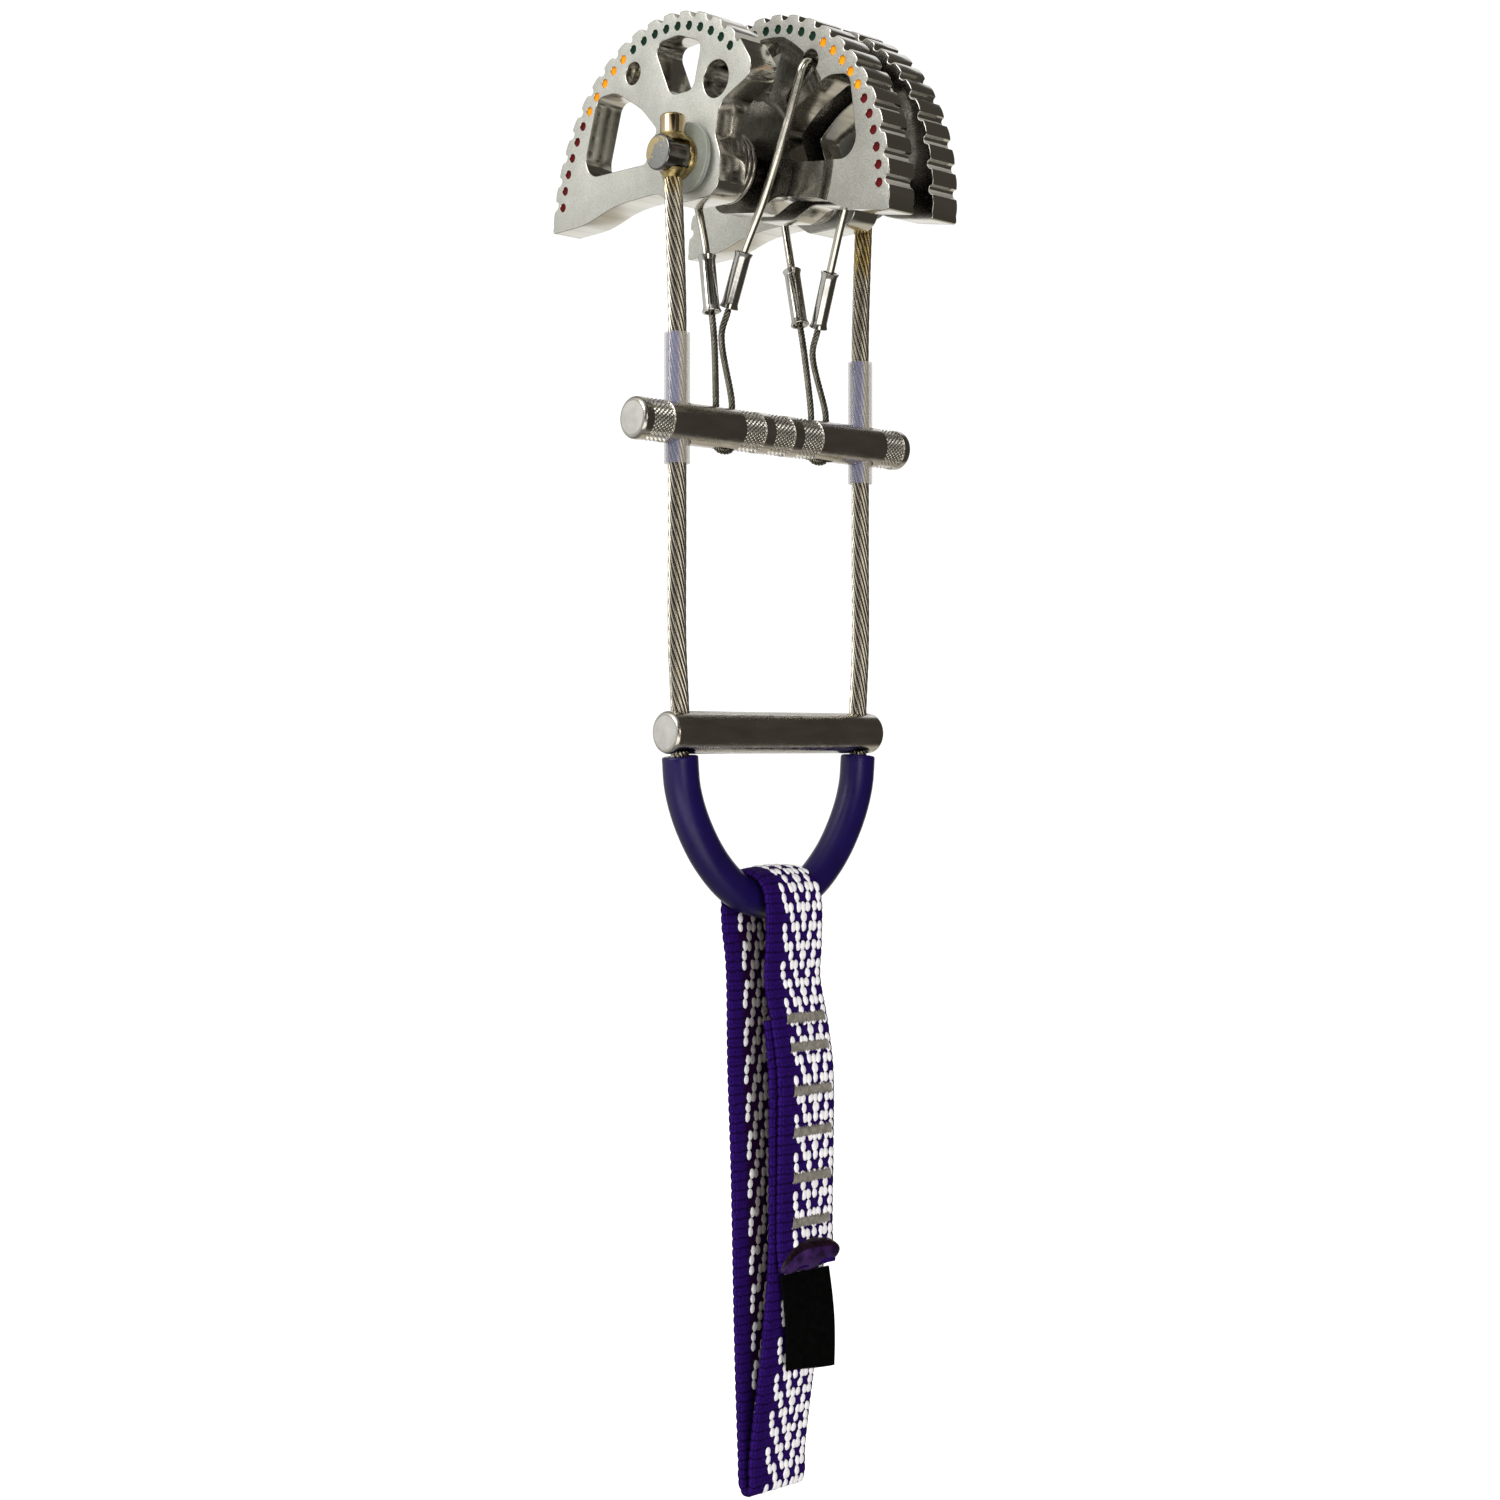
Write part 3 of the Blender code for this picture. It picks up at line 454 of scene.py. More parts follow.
def make_world():
    """A white studio with dark and bright cards for the polished metal to reflect."""
    world = bpy.data.worlds.new("studio")
    bpy.context.scene.world = world
    world.use_nodes = True
    tree = Tree(world.node_tree)
    tree.nodes.clear()
    place = tree.add("TexCoord").outputs["Generated"]
    colour = SURROUNDINGS
    for direction, inner, outer, card_colour in CARDS:
        span = [math.cos(math.radians(angle)) for angle in (outer, inner)]
        reach = tree.along(place, Vector(direction).normalized())
        edge = tree.ranged(reach, 0.0, 1.0, *span, interpolation_type="SMOOTHSTEP")
        colour = tree.mixed(edge, colour, card_colour)
    surroundings = tree.add("Background", {"Color": colour})
    backdrop = tree.add("Background", {"Color": WHITE, "Strength": BACKDROP_STRENGTH})
    seen = tree.add("LightPath").outputs["Is Camera Ray"]
    choose = tree.add("MixShader", {0: seen, 1: surroundings.outputs[0], 2: backdrop.outputs[0]})
    tree.add("OutputWorld", {"Surface": choose.outputs[0]})
    bpy.context.scene.view_settings.view_transform = "Standard"


def make_floor():
    mesh = bpy.data.meshes.new("floor")
    signs = ((-1, -1), (1, -1), (1, 1), (-1, 1))
    ring = [(x * FLOOR_REACH, y * FLOOR_REACH, FLOOR_HEIGHT) for x, y in signs]
    mesh.from_pydata(ring, [], [(0, 1, 2, 3)])
    floor = placed("floor", mesh)
    paint = Finish("floor_white", (0.6, 0.6, 0.6), 0.0, 0.9)
    paint.dress({"Emission Color": WHITE, "Emission Strength": 1.0})
    mesh.materials.append(paint.material)
    floor.visible_glossy = False
    floor.visible_diffuse = False


def make_lights():
    for name, place, size, power, mirrored in LIGHTS:
        data = bpy.data.lights.new(name, "AREA")
        data.shape = "DISK"
        data.size = size
        data.energy = power
        light = placed(name, data)
        light.location = place
        light.rotation_euler = (LIGHT_AIM - Vector(place)).to_track_quat("-Z", "Y").to_euler()
        light.visible_camera = False
        light.visible_glossy = mirrored


# ---------------------------------------------------------------- modelling helpers
def corners(node):
    """Lowest and highest corner of a CAD node, in millimetres."""
    low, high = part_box(node)
    return low / MM, high / MM


def middle_x(node):
    """A CAD node's middle and half its width, in millimetres across the part."""
    low, high = corners(node)
    return (low.x + high.x) / 2.0, (high.x - low.x) / 2.0


def shade(piece, angle):
    """Smooth shading with sharp edges from an angle up."""
    piece.data.shade_smooth()
    piece.data.set_sharp_from_angle(angle=math.radians(angle))


def settle(piece, body, stands_for=(), slot=None):
    """Let a piece ride on a body and stand for CAD nodes; slot is not used."""
    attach(piece, body)
    if stands_for:
        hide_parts(*stands_for)


def made_piece(name, vertices, faces, finishes, body, stands_for=(), slot=None, smooth=35.0, marks=None):
    """A mesh piece from positions in millimetres; marks gives each face's material."""
    mesh = bpy.data.meshes.new(name)
    mesh.from_pydata([Vector(point) * MM for point in vertices], [], faces)
    for finish in finishes:
        mesh.materials.append(finish)
    if marks:
        mesh.polygons.foreach_set("material_index", marks)
    shell = bmesh.new()
    shell.from_mesh(mesh)
    bmesh.ops.recalc_face_normals(shell, faces=shell.faces)
    shell.to_mesh(mesh)
    shell.free()
    piece = placed(name, mesh)
    shade(piece, smooth)
    if body:
        settle(piece, body, stands_for, slot)
    return piece


def lofted(rings, capped=True, closed=False):
    """Vertices and faces through rings of points; a ring of one point is a tip, which takes no cap."""
    count = max(len(ring) for ring in rings)
    vertices = []
    numbers = []
    for ring in rings:
        numbers.append([len(vertices) + (i if len(ring) > 1 else 0) for i in range(count)])
        vertices += ring
    faces = []
    for low, high in zip(numbers, numbers[1:] + (numbers[:1] if closed else [])):
        for i in range(count):
            j = (i + 1) % count
            faces.append(list(dict.fromkeys([low[i], low[j], high[j], high[i]])))
    if capped:
        faces += [ring for ring in (numbers[0], numbers[-1]) if ring[0] != ring[-1]]
    return vertices, faces


def merged(shapes):
    """One shape's vertices and faces from several."""
    vertices = []
    faces = []
    for points, loops in shapes:
        start = len(vertices)
        vertices += points
        faces += [[start + corner for corner in loop] for loop in loops]
    return vertices, faces


def circle(a, b, radius, sides):
    turn = math.tau / sides
    return [(a + radius * math.cos(turn * i), b + radius * math.sin(turn * i)) for i in range(sides)]


def rotated(a, b, angle):
    return a * math.cos(angle) - b * math.sin(angle), a * math.sin(angle) + b * math.cos(angle)


def ease(share):
    """A share of a smooth step."""
    return 0.5 - 0.5 * math.cos(math.pi * share)


def crosswise(along):
    """A direction square to another."""
    helper = Vector((0.0, 1.0, 0.0)) if abs(along.y) < 0.7 else Vector((1.0, 0.0, 0.0))
    return along.cross(helper).normalized()


def turned(name, profile, start, end, finishes, body, stands_for=(), slot=None, sides=48, closed=False,
           marks=None, smooth=35.0):
    """Turn a profile of (distance, radius) about the line from start to end; marks is one per step."""
    start = Vector(start)
    along = (Vector(end) - start).normalized()
    across = crosswise(along)
    up = along.cross(across)
    rings = []
    for distance, radius in profile:
        centre = start + along * distance
        ring = circle(0.0, 0.0, radius, sides if radius else 1)
        rings.append([centre + across * a + up * b for a, b in ring])
    face_marks = [mark for mark in marks or () for _ in range(sides)]
    shape = lofted(rings, False, closed)
    return made_piece(name, *shape, finishes, body, stands_for, slot, smooth, face_marks)


def quarter_round(size, count):
    """Steps round a rounded rim: how far along, and how far in from the full size."""
    turns = [math.radians(90.0 * step / count) for step in range(count + 1)]
    return [(size * (1.0 - math.cos(a)), size * (1.0 - math.sin(a))) for a in turns]


def rod_profile(length, radius, rounding, count=5):
    """A solid rod with rounded rims; the first and last steps are the flat ends."""
    rim = [(0.0, 0.0)] + [(rise, radius - inward) for rise, inward in quarter_round(rounding, count)]
    return rim + [(length - distance, size) for distance, size in reversed(rim)]


def end_marks(profile):
    """Marks that give a rod's flat ends the second material."""
    return [1] + [0] * (len(profile) - 3) + [1]


def smooth_route(points, spacing):
    """Points at about the given spacing on a smooth curve through the route's points."""
    points = [Vector(point) for point in points]
    padded = [2 * points[0] - points[1]] + points + [2 * points[-1] - points[-2]]
    knots = [0.0]
    for before, after in zip(padded, padded[1:]):
        knots.append(knots[-1] + math.sqrt((after - before).length))
    route = [points[0]]
    for index in range(1, len(padded) - 2):
        p0, p1, p2, p3 = padded[index - 1:index + 3]
        t0, t1, t2, t3 = knots[index - 1:index + 3]
        pieces = max(1, round((p2 - p1).length / spacing))
        for piece in range(1, pieces + 1):
            t = t1 + (t2 - t1) * piece / pieces
            a1 = p0.lerp(p1, (t - t0) / (t1 - t0))
            a2 = p1.lerp(p2, (t - t1) / (t2 - t1))
            a3 = p2.lerp(p3, (t - t2) / (t3 - t2))
            b1 = a1.lerp(a2, (t - t0) / (t2 - t0))
            b2 = a2.lerp(a3, (t - t1) / (t3 - t1))
            route.append(b1.lerp(b2, (t - t1) / (t2 - t1)))
    return route


def direction_at(route, index):
    last = len(route) - 1
    return (route[min(index + 1, last)] - route[max(index - 1, 0)]).normalized()


def frames_along(route):
    """Direction and two crosswise directions at each point, without twist."""
    frames = []
    across = crosswise(direction_at(route, 0))
    for index in range(len(route)):
        along = direction_at(route, index)
        across = (across - along * across.dot(along)).normalized()
        frames.append((along, across, along.cross(across)))
    return frames


def swept(route, section, twist=0.0):
    """Vertices and faces of a section carried along a route, turning twist radians per millimetre."""
    rings = []
    travelled = 0.0
    before = route[0]
    for point, (_, across, up) in zip(route, frames_along(route)):
        travelled += (point - before).length
        before = point
        turned_section = [rotated(a, b, twist * travelled) for a, b in section]
        rings.append([point + across * side + up * rise for side, rise in turned_section])
    return lofted(rings)


def strand_section(strands, radius, per_strand):
    """The scalloped outline of a cable whose outer wires lie side by side."""
    half = math.pi / strands
    wire = radius * math.sin(half) / (1.0 + math.sin(half)) * 1.02
    centre = radius - wire
    reach = centre * math.cos(half) + math.sqrt(max(0.0, wire * wire - (centre * math.sin(half)) ** 2))
    limit = math.atan2(reach * math.sin(half), reach * math.cos(half) - centre)
    outline = []
    for strand in range(strands):
        for step in range(per_strand):
            t = -limit + 2.0 * limit * step / per_strand
            outline.append(rotated(centre + wire * math.cos(t), wire * math.sin(t), 2.0 * half * strand))
    return outline


def gap_shade_marks(faces, per_strand):
    """Mark the two faces of each strand that lie in the gaps, which get painted shade, and leave the two end
    faces.
    """
    marks = [1 if index % per_strand in (0, per_strand - 1) else 0 for index in range(len(faces) - 2)]
    return marks + [0, 0]


def subtract(piece, cutters):
    """Cut a piece with other meshes, apply the cuts and remove the cutters."""
    for cutter in cutters:
        cut = piece.modifiers.new(cutter.name, "BOOLEAN")
        cut.operation = "DIFFERENCE"
        cut.solver = "EXACT"
        cut.object = cutter
    bpy.context.view_layer.update()
    evaluated = piece.evaluated_get(bpy.context.evaluated_depsgraph_get())
    mesh = bpy.data.meshes.new_from_object(evaluated)
    piece.modifiers.clear()
    piece.data = mesh
    for cutter in cutters:
        bpy.data.objects.remove(cutter)


def hole_cutters(piece, xs, z, reach, radius):
    """Cutters for upright round holes through a bar, from reach below its middle to reach above it."""
    profile = [(0.0, 0.0), (0.0, radius), (2.0 * reach, radius), (2.0 * reach, 0.0)]
    finishes = list(piece.data.materials)
    return [turned("cutter", profile, (x, 0, z - reach), (x, 0, z + reach), finishes, None, sides=32)
            for x in xs]


def roughen(piece, amount, seed):
    """Give a cast surface its uneven swell."""
    pick = random.Random(seed)
    waves = [(Vector([pick.uniform(-1, 1) for _ in range(3)]), pick.uniform(0, 6.3)) for _ in range(6)]
    for vertex in piece.data.vertices:
        here = vertex.co / MM
        swell = sum(math.sin(1.7 * here.dot(wave) + phase) for wave, phase in waves) / len(waves)
        vertex.co += vertex.normal * swell * amount * MM


# ---------------------------------------------------------------- cams
# The fourth of a cam's materials is a painted highlight.
# The third of a cam's materials is painted shade.
FACE, CUT, PAINTED_SHADE, GROOVE = range(4)         # a cam's materials


def filleted(corners_list, step=6.0):
    """A closed outline from corners (y, z, radius), with each corner rounded by an arc."""
    outline = []
    count = len(corners_list)
    for index, (y, z, radius) in enumerate(corners_list):
        here = Vector((y, z))
        back = Vector(corners_list[index - 1][:2]) - here
        ahead = Vector(corners_list[(index + 1) % count][:2]) - here
        inside = back.angle(ahead)
        turn = math.pi - inside
        if radius <= 0.0 or turn < math.radians(1.0):
            outline.append((y, z))
            continue
        trim = min(radius / math.tan(inside / 2.0), 0.49 * back.length, 0.49 * ahead.length)
        start = here + back.normalized() * trim
        end = here + ahead.normalized() * trim
        radius = trim * math.tan(inside / 2.0)
        towards = (back.normalized() + ahead.normalized()).normalized()
        centre = here + towards * (radius / math.sin(inside / 2.0))
        pieces = max(2, round(math.degrees(turn) / step))
        first = start - centre
        side = 1.0 if first.cross(end - centre) > 0.0 else -1.0
        for piece in range(pieces + 1):
            outline.append(tuple(centre + Matrix.Rotation(side * turn * piece / pieces, 2) @ first))
    return outline


def spiral_point(arc, outward=0.0):
    climb = math.sin(math.radians(CAM_ANGLE))
    rate = math.tan(math.radians(CAM_ANGLE))
    radius = CAM_TIP_RADIUS - climb * arc
    angle = math.radians(CAM_TIP_ANGLE) + math.log(CAM_TIP_RADIUS / radius) / rate
    radius += outward
    return (radius * math.cos(angle), radius * math.sin(angle))


def groove_points(index):
    """Across one groove, from the lip nearer the tip to the other lip."""
    arc = FIRST_GROOVE + index * TOOTH_PITCH
    points = []
    for step in range(9):
        along = -1.0 + step / 4.0
        depth = -(1.0 - abs(along) ** 2.6) ** 0.75
        points.append(spiral_point(arc + along * GROOVE_HALF_WIDTH, depth * GROOVE_DEPTH))
    return points


def land_points(start, length, pieces):
    """The crowned land after a lip, without its ends."""
    shares = [step / pieces for step in range(1, pieces)]
    return [spiral_point(start + length * share, 4.0 * LAND_CROWN * share * (1.0 - share))
            for share in shares]


def cam_outline():
    """The toothed edge from the tip, then the plain back of the cam."""
    points = [spiral_point(0.0)] + land_points(0.0, FIRST_GROOVE - GROOVE_HALF_WIDTH, 4)
    for index in range(GROOVE_COUNT):
        points += groove_points(index)
        if index < GROOVE_COUNT - 1:
            lip = FIRST_GROOVE + index * TOOTH_PITCH + GROOVE_HALF_WIDTH
            points += land_points(lip, TOOTH_PITCH - 2.0 * GROOVE_HALF_WIDTH, 5)
    back = [
        (-15.9, 11.6, 2.4), (-7.2, 7.9, 3.5), (-6.2, 2.9, 3.0), (-7.5, -0.6, 3.0), (-6.9, -7.0, 5.6),
        (4.2, -6.8, 3.0), (8.5, -4.2, 4.0), (19.5, -4.3, 30.0), (27.0, -6.4, 20.0), (36.6, -6.5, 0.8),
    ]
    rounded = filleted([(*points[-1], 0.0)] + back + [(*points[0], 0.0)])
    return points + rounded[1:-1]


def cam_holes(pocket_reach):
    window = [
        (8.4, 6.6, 1.0), (11.4, 1.3, 1.3), (28.3, 1.7, 3.2), (24.0, 15.0, 2.2), (19.2, 15.0, 5.0),
        (12.4, 10.8, 12.0),
    ]
    pocket = [
        (pocket_reach, 21.0, 1.7), (3.0, 21.2, 4.0), (-2.8, 18.9, 1.6), (-0.7, 11.4, 1.8), (4.9, 11.6, 2.4),
    ]
    return [
        circle(0.0, 0.0, AXLE_BORE, 48),
        filleted(window, 8.0),
        filleted(pocket, 8.0),
        circle(*WIRE_HOLE, WIRE_HOLE_RADIUS, 32),
        circle(*ROUND_HOLE, ROUND_HOLE_RADIUS, 40),
    ]


def dot_places():
    places = []
    for index in range(DOT_COUNT):
        radius = FIRST_DOT_RADIUS - DOT_STEP * index
        angle = math.radians(FIRST_DOT_ANGLE) + math.log(FIRST_DOT_RADIUS / radius) / DOT_RATE
        places.append((radius * math.cos(angle), radius * math.sin(angle)))
    return places


def oriented(loop, inward_left):
    """Give a loop the direction that has the material on its left."""
    area = sum(loop[i - 1][0] * loop[i][1] - loop[i][0] * loop[i - 1][1] for i in range(len(loop)))
    return loop if (area > 0.0) == inward_left else loop[::-1]


def inset(loop, distance):
    """Move a loop's points into the material, on the left of its direction."""
    moved = []
    count = len(loop)
    for index, point in enumerate(loop):
        here = Vector(point)
        before = (here - Vector(loop[index - 1])).normalized()
        after = (Vector(loop[(index + 1) % count]) - here).normalized()
        square = Vector((-before.y, before.x))
        normal = square + Vector((-after.y, after.x))
        if normal.length < 1e-6:
            normal = square.copy()
        normal.normalize()
        moved.append(tuple(here + normal * distance / max(0.6, normal.dot(square))))
    return moved


def cam_place(centre_x, outward, opens_to_plus_y):
    """A function from (height towards the dotted face, y, z) to a position."""
    closed = math.radians(0.0 if opens_to_plus_y else -INNER_CAM_RETRACTED)
    mirror = 1.0 if opens_to_plus_y else -1.0

    def place(height, y, z):
        turned_y, turned_z = rotated(y, z, closed)
        return Vector((centre_x + outward * height, mirror * turned_y, turned_z))

    return place


def make_cam(name, opens_to_plus_y, finishes, paints):
    """One cam: rounded edges all round, recessed dots, and on the inner cams two machined recesses."""
    centre_x, half = middle_x(name)
    place = cam_place(centre_x, 1.0 if centre_x > 0.0 else -1.0, opens_to_plus_y)
    pocket_reach = 9.2 if opens_to_plus_y else 7.0
    edge_rounding = 0.16
    loops = [oriented(cam_outline(), True)]
    loops += [oriented(hole, False) for hole in cam_holes(pocket_reach)]
    dots = [oriented(circle(y, z, DOT_RADIUS, DOT_SIDES), False) for y, z in dot_places()]
    levels = [(half - rise, inward) for rise, inward in quarter_round(edge_rounding, 3)]
    levels += [(-height, inward) for height, inward in reversed(levels)]
    dot_levels = [(half, 0.0), (half - 0.05, -0.05), (half - DOT_DEPTH, -0.06)]
    upward_walls = {point for index in range(GROOVE_COUNT) for point in groove_points(index)[:5]}
    shell = bmesh.new()
    face_edges = {1: [], -1: []}

    def boundary(ring, side):
        for i in range(len(ring)):
            found = shell.edges.get((ring[i - 1], ring[i])) or shell.edges.new((ring[i - 1], ring[i]))
            face_edges[side].append(found)

    for loop in loops + dots:
        rings = []
        for height, inward in levels if loop in loops else dot_levels:
            rings.append([shell.verts.new(place(height, y, z) * MM) for y, z in inset(loop, inward)])
        for low, high in zip(rings, rings[1:]):
            for i in range(len(loop)):
                face = shell.faces.new((low[i - 1], low[i], high[i], high[i - 1]))
                # Upward groove walls take the painted-highlight material.
                face.material_index = GROOVE if {loop[i - 1], loop[i]} <= upward_walls else CUT
        boundary(rings[0], 1)
        if loop in loops:
            boundary(rings[-1], -1)
        else:
            shell.faces.new(rings[-1]).material_index = CUT
    for side, edges in face_edges.items():
        filled = bmesh.ops.triangle_fill(shell, use_beauty=True, use_dissolve=False, edges=edges)
        for item in filled["geom"]:
            if isinstance(item, bmesh.types.BMFace):
                # The inner cams' back faces, across the shaded gap between them, take the painted-shade
                # material.
                item.material_index = FACE if side == 1 or opens_to_plus_y else PAINTED_SHADE
    bmesh.ops.recalc_face_normals(shell, faces=shell.faces)
    mesh = bpy.data.meshes.new(f"{name}_metal")
    shell.to_mesh(mesh)
    shell.free()
    for finish in finishes:
        mesh.materials.append(finish)
    cam = placed(f"{name}_metal", mesh)
    if not opens_to_plus_y:
        cut_recesses(cam, place, half)
    shade(cam, 32.0)
    settle(cam, name, (name,), "cam_aluminium")
    paint_dots(name, place, half, paints)


def prism(place, levels, finishes, mark):
    """A closed cutter from (height, loop) levels that have the same number of points."""
    vertices, faces = lofted([[place(height, y, z) for y, z in loop] for height, loop in levels])
    return made_piece("cutter", vertices, faces, finishes, None, marks=[mark] * len(faces))


def recess_edge(turn):
    """How far the machined recess reaches from the axle, at a share of a full turn from the tip."""
    nearest = 17.0
    furthest = 22.6
    inside_dots = 1.5
    spiral = FIRST_DOT_RADIUS * math.exp(-DOT_RATE * (math.tau * turn - math.radians(FIRST_DOT_ANGLE)))
    return max(nearest, min(furthest, spiral - inside_dots))


def recess_loop(wider, steps=120):
    """The recess's outline round the axle, wider than its edge by a distance."""
    loop = []
    for index in range(steps):
        turn = index / steps - 0.12
        radius = recess_edge(turn) + wider
        loop.append((radius * math.cos(math.tau * turn), radius * math.sin(math.tau * turn)))
    return loop


def cut_recesses(cam, place, half):
    """The shallow machined dish inside the dots, the deeper hub, and the slot beside the wire's hole, all
    given painted shade.
    """
    finishes = list(cam.data.materials)
    above = half + 1.0
    depth = 0.9
    slope = 3.4
    hub_depth = 0.6
    hub_radius = 13.3
    dish = [(above, recess_loop(0.3))]
    for share in [step / 8.0 for step in range(9)]:
        dish.append((half - depth * ease(share) - 0.004, recess_loop(0.25 - slope * share)))
    hub = [(above, circle(0.0, 0.0, hub_radius + 0.1, 72))]
    for share in [step / 6.0 for step in range(7)]:
        hub.append((half - depth + 0.06 - hub_depth * ease(share),
                    circle(0.0, 0.0, hub_radius - 1.6 * share, 72)))
    subtract(cam, [prism(place, levels, finishes, PAINTED_SHADE) for levels in (dish, hub)])
    towards = Vector(WIRE_HOLE).normalized()
    lean = math.atan2(towards.y, towards.x)
    slot = []
    for back, start, radius in ((0.4, 0.0, 1.35), (7.2, math.pi, 1.0)):
        for i in range(13):
            angle = start - math.pi / 2.0 + math.pi * i / 12.0 + lean
            round_end = Vector((math.cos(angle), math.sin(angle))) * radius
            slot.append(tuple(Vector(WIRE_HOLE) - towards * back + round_end))
    slot = oriented(slot, True)
    levels = [(above, slot), (half - 2.4, slot), (half - 2.8, inset(slot, 0.4))]
    subtract(cam, [prism(place, levels, finishes, PAINTED_SHADE)])


def paint_dots(name, place, half, paints):
    """The paint in each dot's hole, a little hollow like dried enamel."""
    radius = DOT_RADIUS + 0.03
    top = half - PAINT_DEPTH
    faces_each = 3 * DOT_SIDES + 1
    dots = []
    marks = []
    for index, (y, z) in enumerate(dot_places()):
        rings = []
        for height, size in ((half - DOT_DEPTH + 0.02, radius), (top, radius), (top - 0.05, radius * 0.7)):
            rings.append([place(height, a, b) for a, b in circle(y, z, size, DOT_SIDES)])
        dots.append(lofted(rings + [[place(top - 0.07, y, z)]]))
        marks += [0 if index < RED_DOTS else 1 if index < RED_DOTS + YELLOW_DOTS else 2] * faces_each
    made_piece(f"{name}_dots", *merged(dots), paints, name, marks=marks)


def make_cams(m):
    shared = [m["cut"], m["inside"], m["groove"]]
    paints = [m["paint_red"], m["paint_yellow"], m["paint_green"]]
    for side, _ in SIDES:
        make_cam(f"cam_outer_{side}", True, [m["tumbled"]] + shared, paints)
        # The inner cams take the painted-shade copy of the tumbled face.
        make_cam(f"cam_inner_{side}", False, [m["tumbled_inner"]] + shared, paints)


# ---------------------------------------------------------------- axle group
def make_axle(m):
    low, high = corners("axle")
    radius = high.z
    profile = rod_profile(high.x - low.x, radius, 0.3)
    turned("axle_pin", profile, (low.x, 0, 0), (high.x, 0, 0), [m["pin"], m["pin_end"]], "stem", ("axle",),
           "axle_steel", 64, marks=end_marks(profile))
    for side, sign in SIDES:
        make_braze(side, sign, radius, m)


def make_braze(side, sign, radius, m):
    """The cap over the cable's end and the braze round it."""
    node = f"cable_cap_{side}"
    x, size = middle_x(node)
    top = corners(node)[1].z
    base = radius - 0.9
    flare = [(0.0, 0.0), (0.0, size + 0.9), (0.55, size + 0.75), (1.0, size + 0.30), (1.5, size + 0.03)]
    body = rod_profile(top - base, size, 0.55, 6)
    profile = flare + body[len(body) // 2:]
    marks = [1, 1, 1, 1] + [0] * (len(profile) - 5)
    turned(f"cap_{side}", profile, (x, 0, base), (x, 0, top), [m["cap"], m["braze"]], "stem", (node,),
           "brazed_cap", 40, marks=marks)
    # a ring of braze between the cable and the washer, and a collar under the axle round the cable
    ring_x = x - sign * 2.35
    ring = [(0.0, radius - 0.1), (0.0, radius + 0.35), (0.25, radius + 0.62), (0.7, radius + 0.6),
            (1.1, radius + 0.3), (1.2, radius - 0.1)]
    collar = [(0.0, 1.45), (0.0, 2.4), (0.4, 2.2), (0.8, 1.9), (1.2, 1.66), (1.5, 1.58), (1.5, 1.45)]
    for name, outline, start, end, amount, seed in (
        (f"braze_ring_{side}", ring, (ring_x, 0, 0), (ring_x + sign, 0, 0), 0.12, 3),
        (f"braze_collar_{side}", collar, (x, 0, -radius + 0.6), (x, 0, -radius - 2.0), 0.15, 5),
    ):
        piece = turned(name, outline, start, end, [m["braze"]], "stem", (), "brazed_cap", 40, closed=True)
        roughen(piece, amount, seed)


def make_washers(m):
    """Two washers with a stepped, slightly wavy outer face, and the plain spacer in the middle."""
    bore = AXLE_BORE
    for node in ("washer_left", "washer_right"):
        low, high = corners(node)
        width = high.x - low.x
        radius = high.z
        profile = [(0.0, bore), (0.0, radius - 0.45), (0.05, radius - 0.28), (0.16, radius - 0.22)]
        profile += [(0.42 * width, radius - 0.24), (0.5 * width, radius - 0.38)]
        profile += [(0.56 * width, radius - 0.1), (0.66 * width, radius)]
        profile += [(width - 0.12, radius), (width, radius - 0.12), (width, bore)]
        start, end = (low.x, high.x) if node.endswith("right") else (high.x, low.x)
        piece = turned(f"{node}_nylon", profile, (start, 0, 0), (end, 0, 0), [m["nylon"]], "stem", (node,),
                       "nylon", 64, closed=True)
        for vertex in piece.data.vertices:
            angle = math.atan2(vertex.co.z, vertex.co.y)
            far = math.hypot(vertex.co.y, vertex.co.z) / MM / radius
            vertex.co.x += 0.16 * MM * math.sin(3.0 * angle + 0.6) * far ** 3
    low, high = corners("centre_spacer")
    width = high.x - low.x
    radius = high.z
    profile = [(0.0, bore), (0.0, radius - 0.3), (0.3, radius), (width - 0.3, radius), (width, radius - 0.3),
               (width, bore)]
    turned("centre_spacer_nylon", profile, (low.x, 0, 0), (high.x, 0, 0), [m["nylon"]], "stem",
           ("centre_spacer",), "nylon", 56, closed=True)


def make_springs(m):
    """A torsion spring between each outer cam and its inner neighbour."""
    turns = 3.25
    coil = 5.5
    pitch = 1.05
    leg = 2.6
    wire_radius = 0.45
    middle_of_gap = 10.6
    steps = round(turns * 40)
    for side, sign in SIDES:
        route = []
        for index in range(steps + 1):
            turn = turns * index / steps
            x = sign * middle_of_gap + pitch * (turn - turns / 2.0)
            route.append(Vector((x, coil * math.sin(math.tau * turn), coil * math.cos(math.tau * turn))))
        first = route[0] + (route[0] - route[1]).normalized() * leg
        last = route[-1] + (route[-1] - route[-2]).normalized() * leg
        shape = swept([first] + route + [last], circle(0.0, 0.0, wire_radius, 12))
        made_piece(f"spring_{side}_wire", *shape, [m["spring"]], "stem", (f"spring_{side}",), "spring_steel")


# ---------------------------------------------------------------- stem
def stem_points(first=0):
    """The cable's route from its left end down, round and up to its right end, or a lower part of it."""
    left, right = ([Vector((sign * x, 0.0, z)) for x, z in STEM_ROUTE[first:]] for _, sign in SIDES)
    return left + right[:-1][::-1]


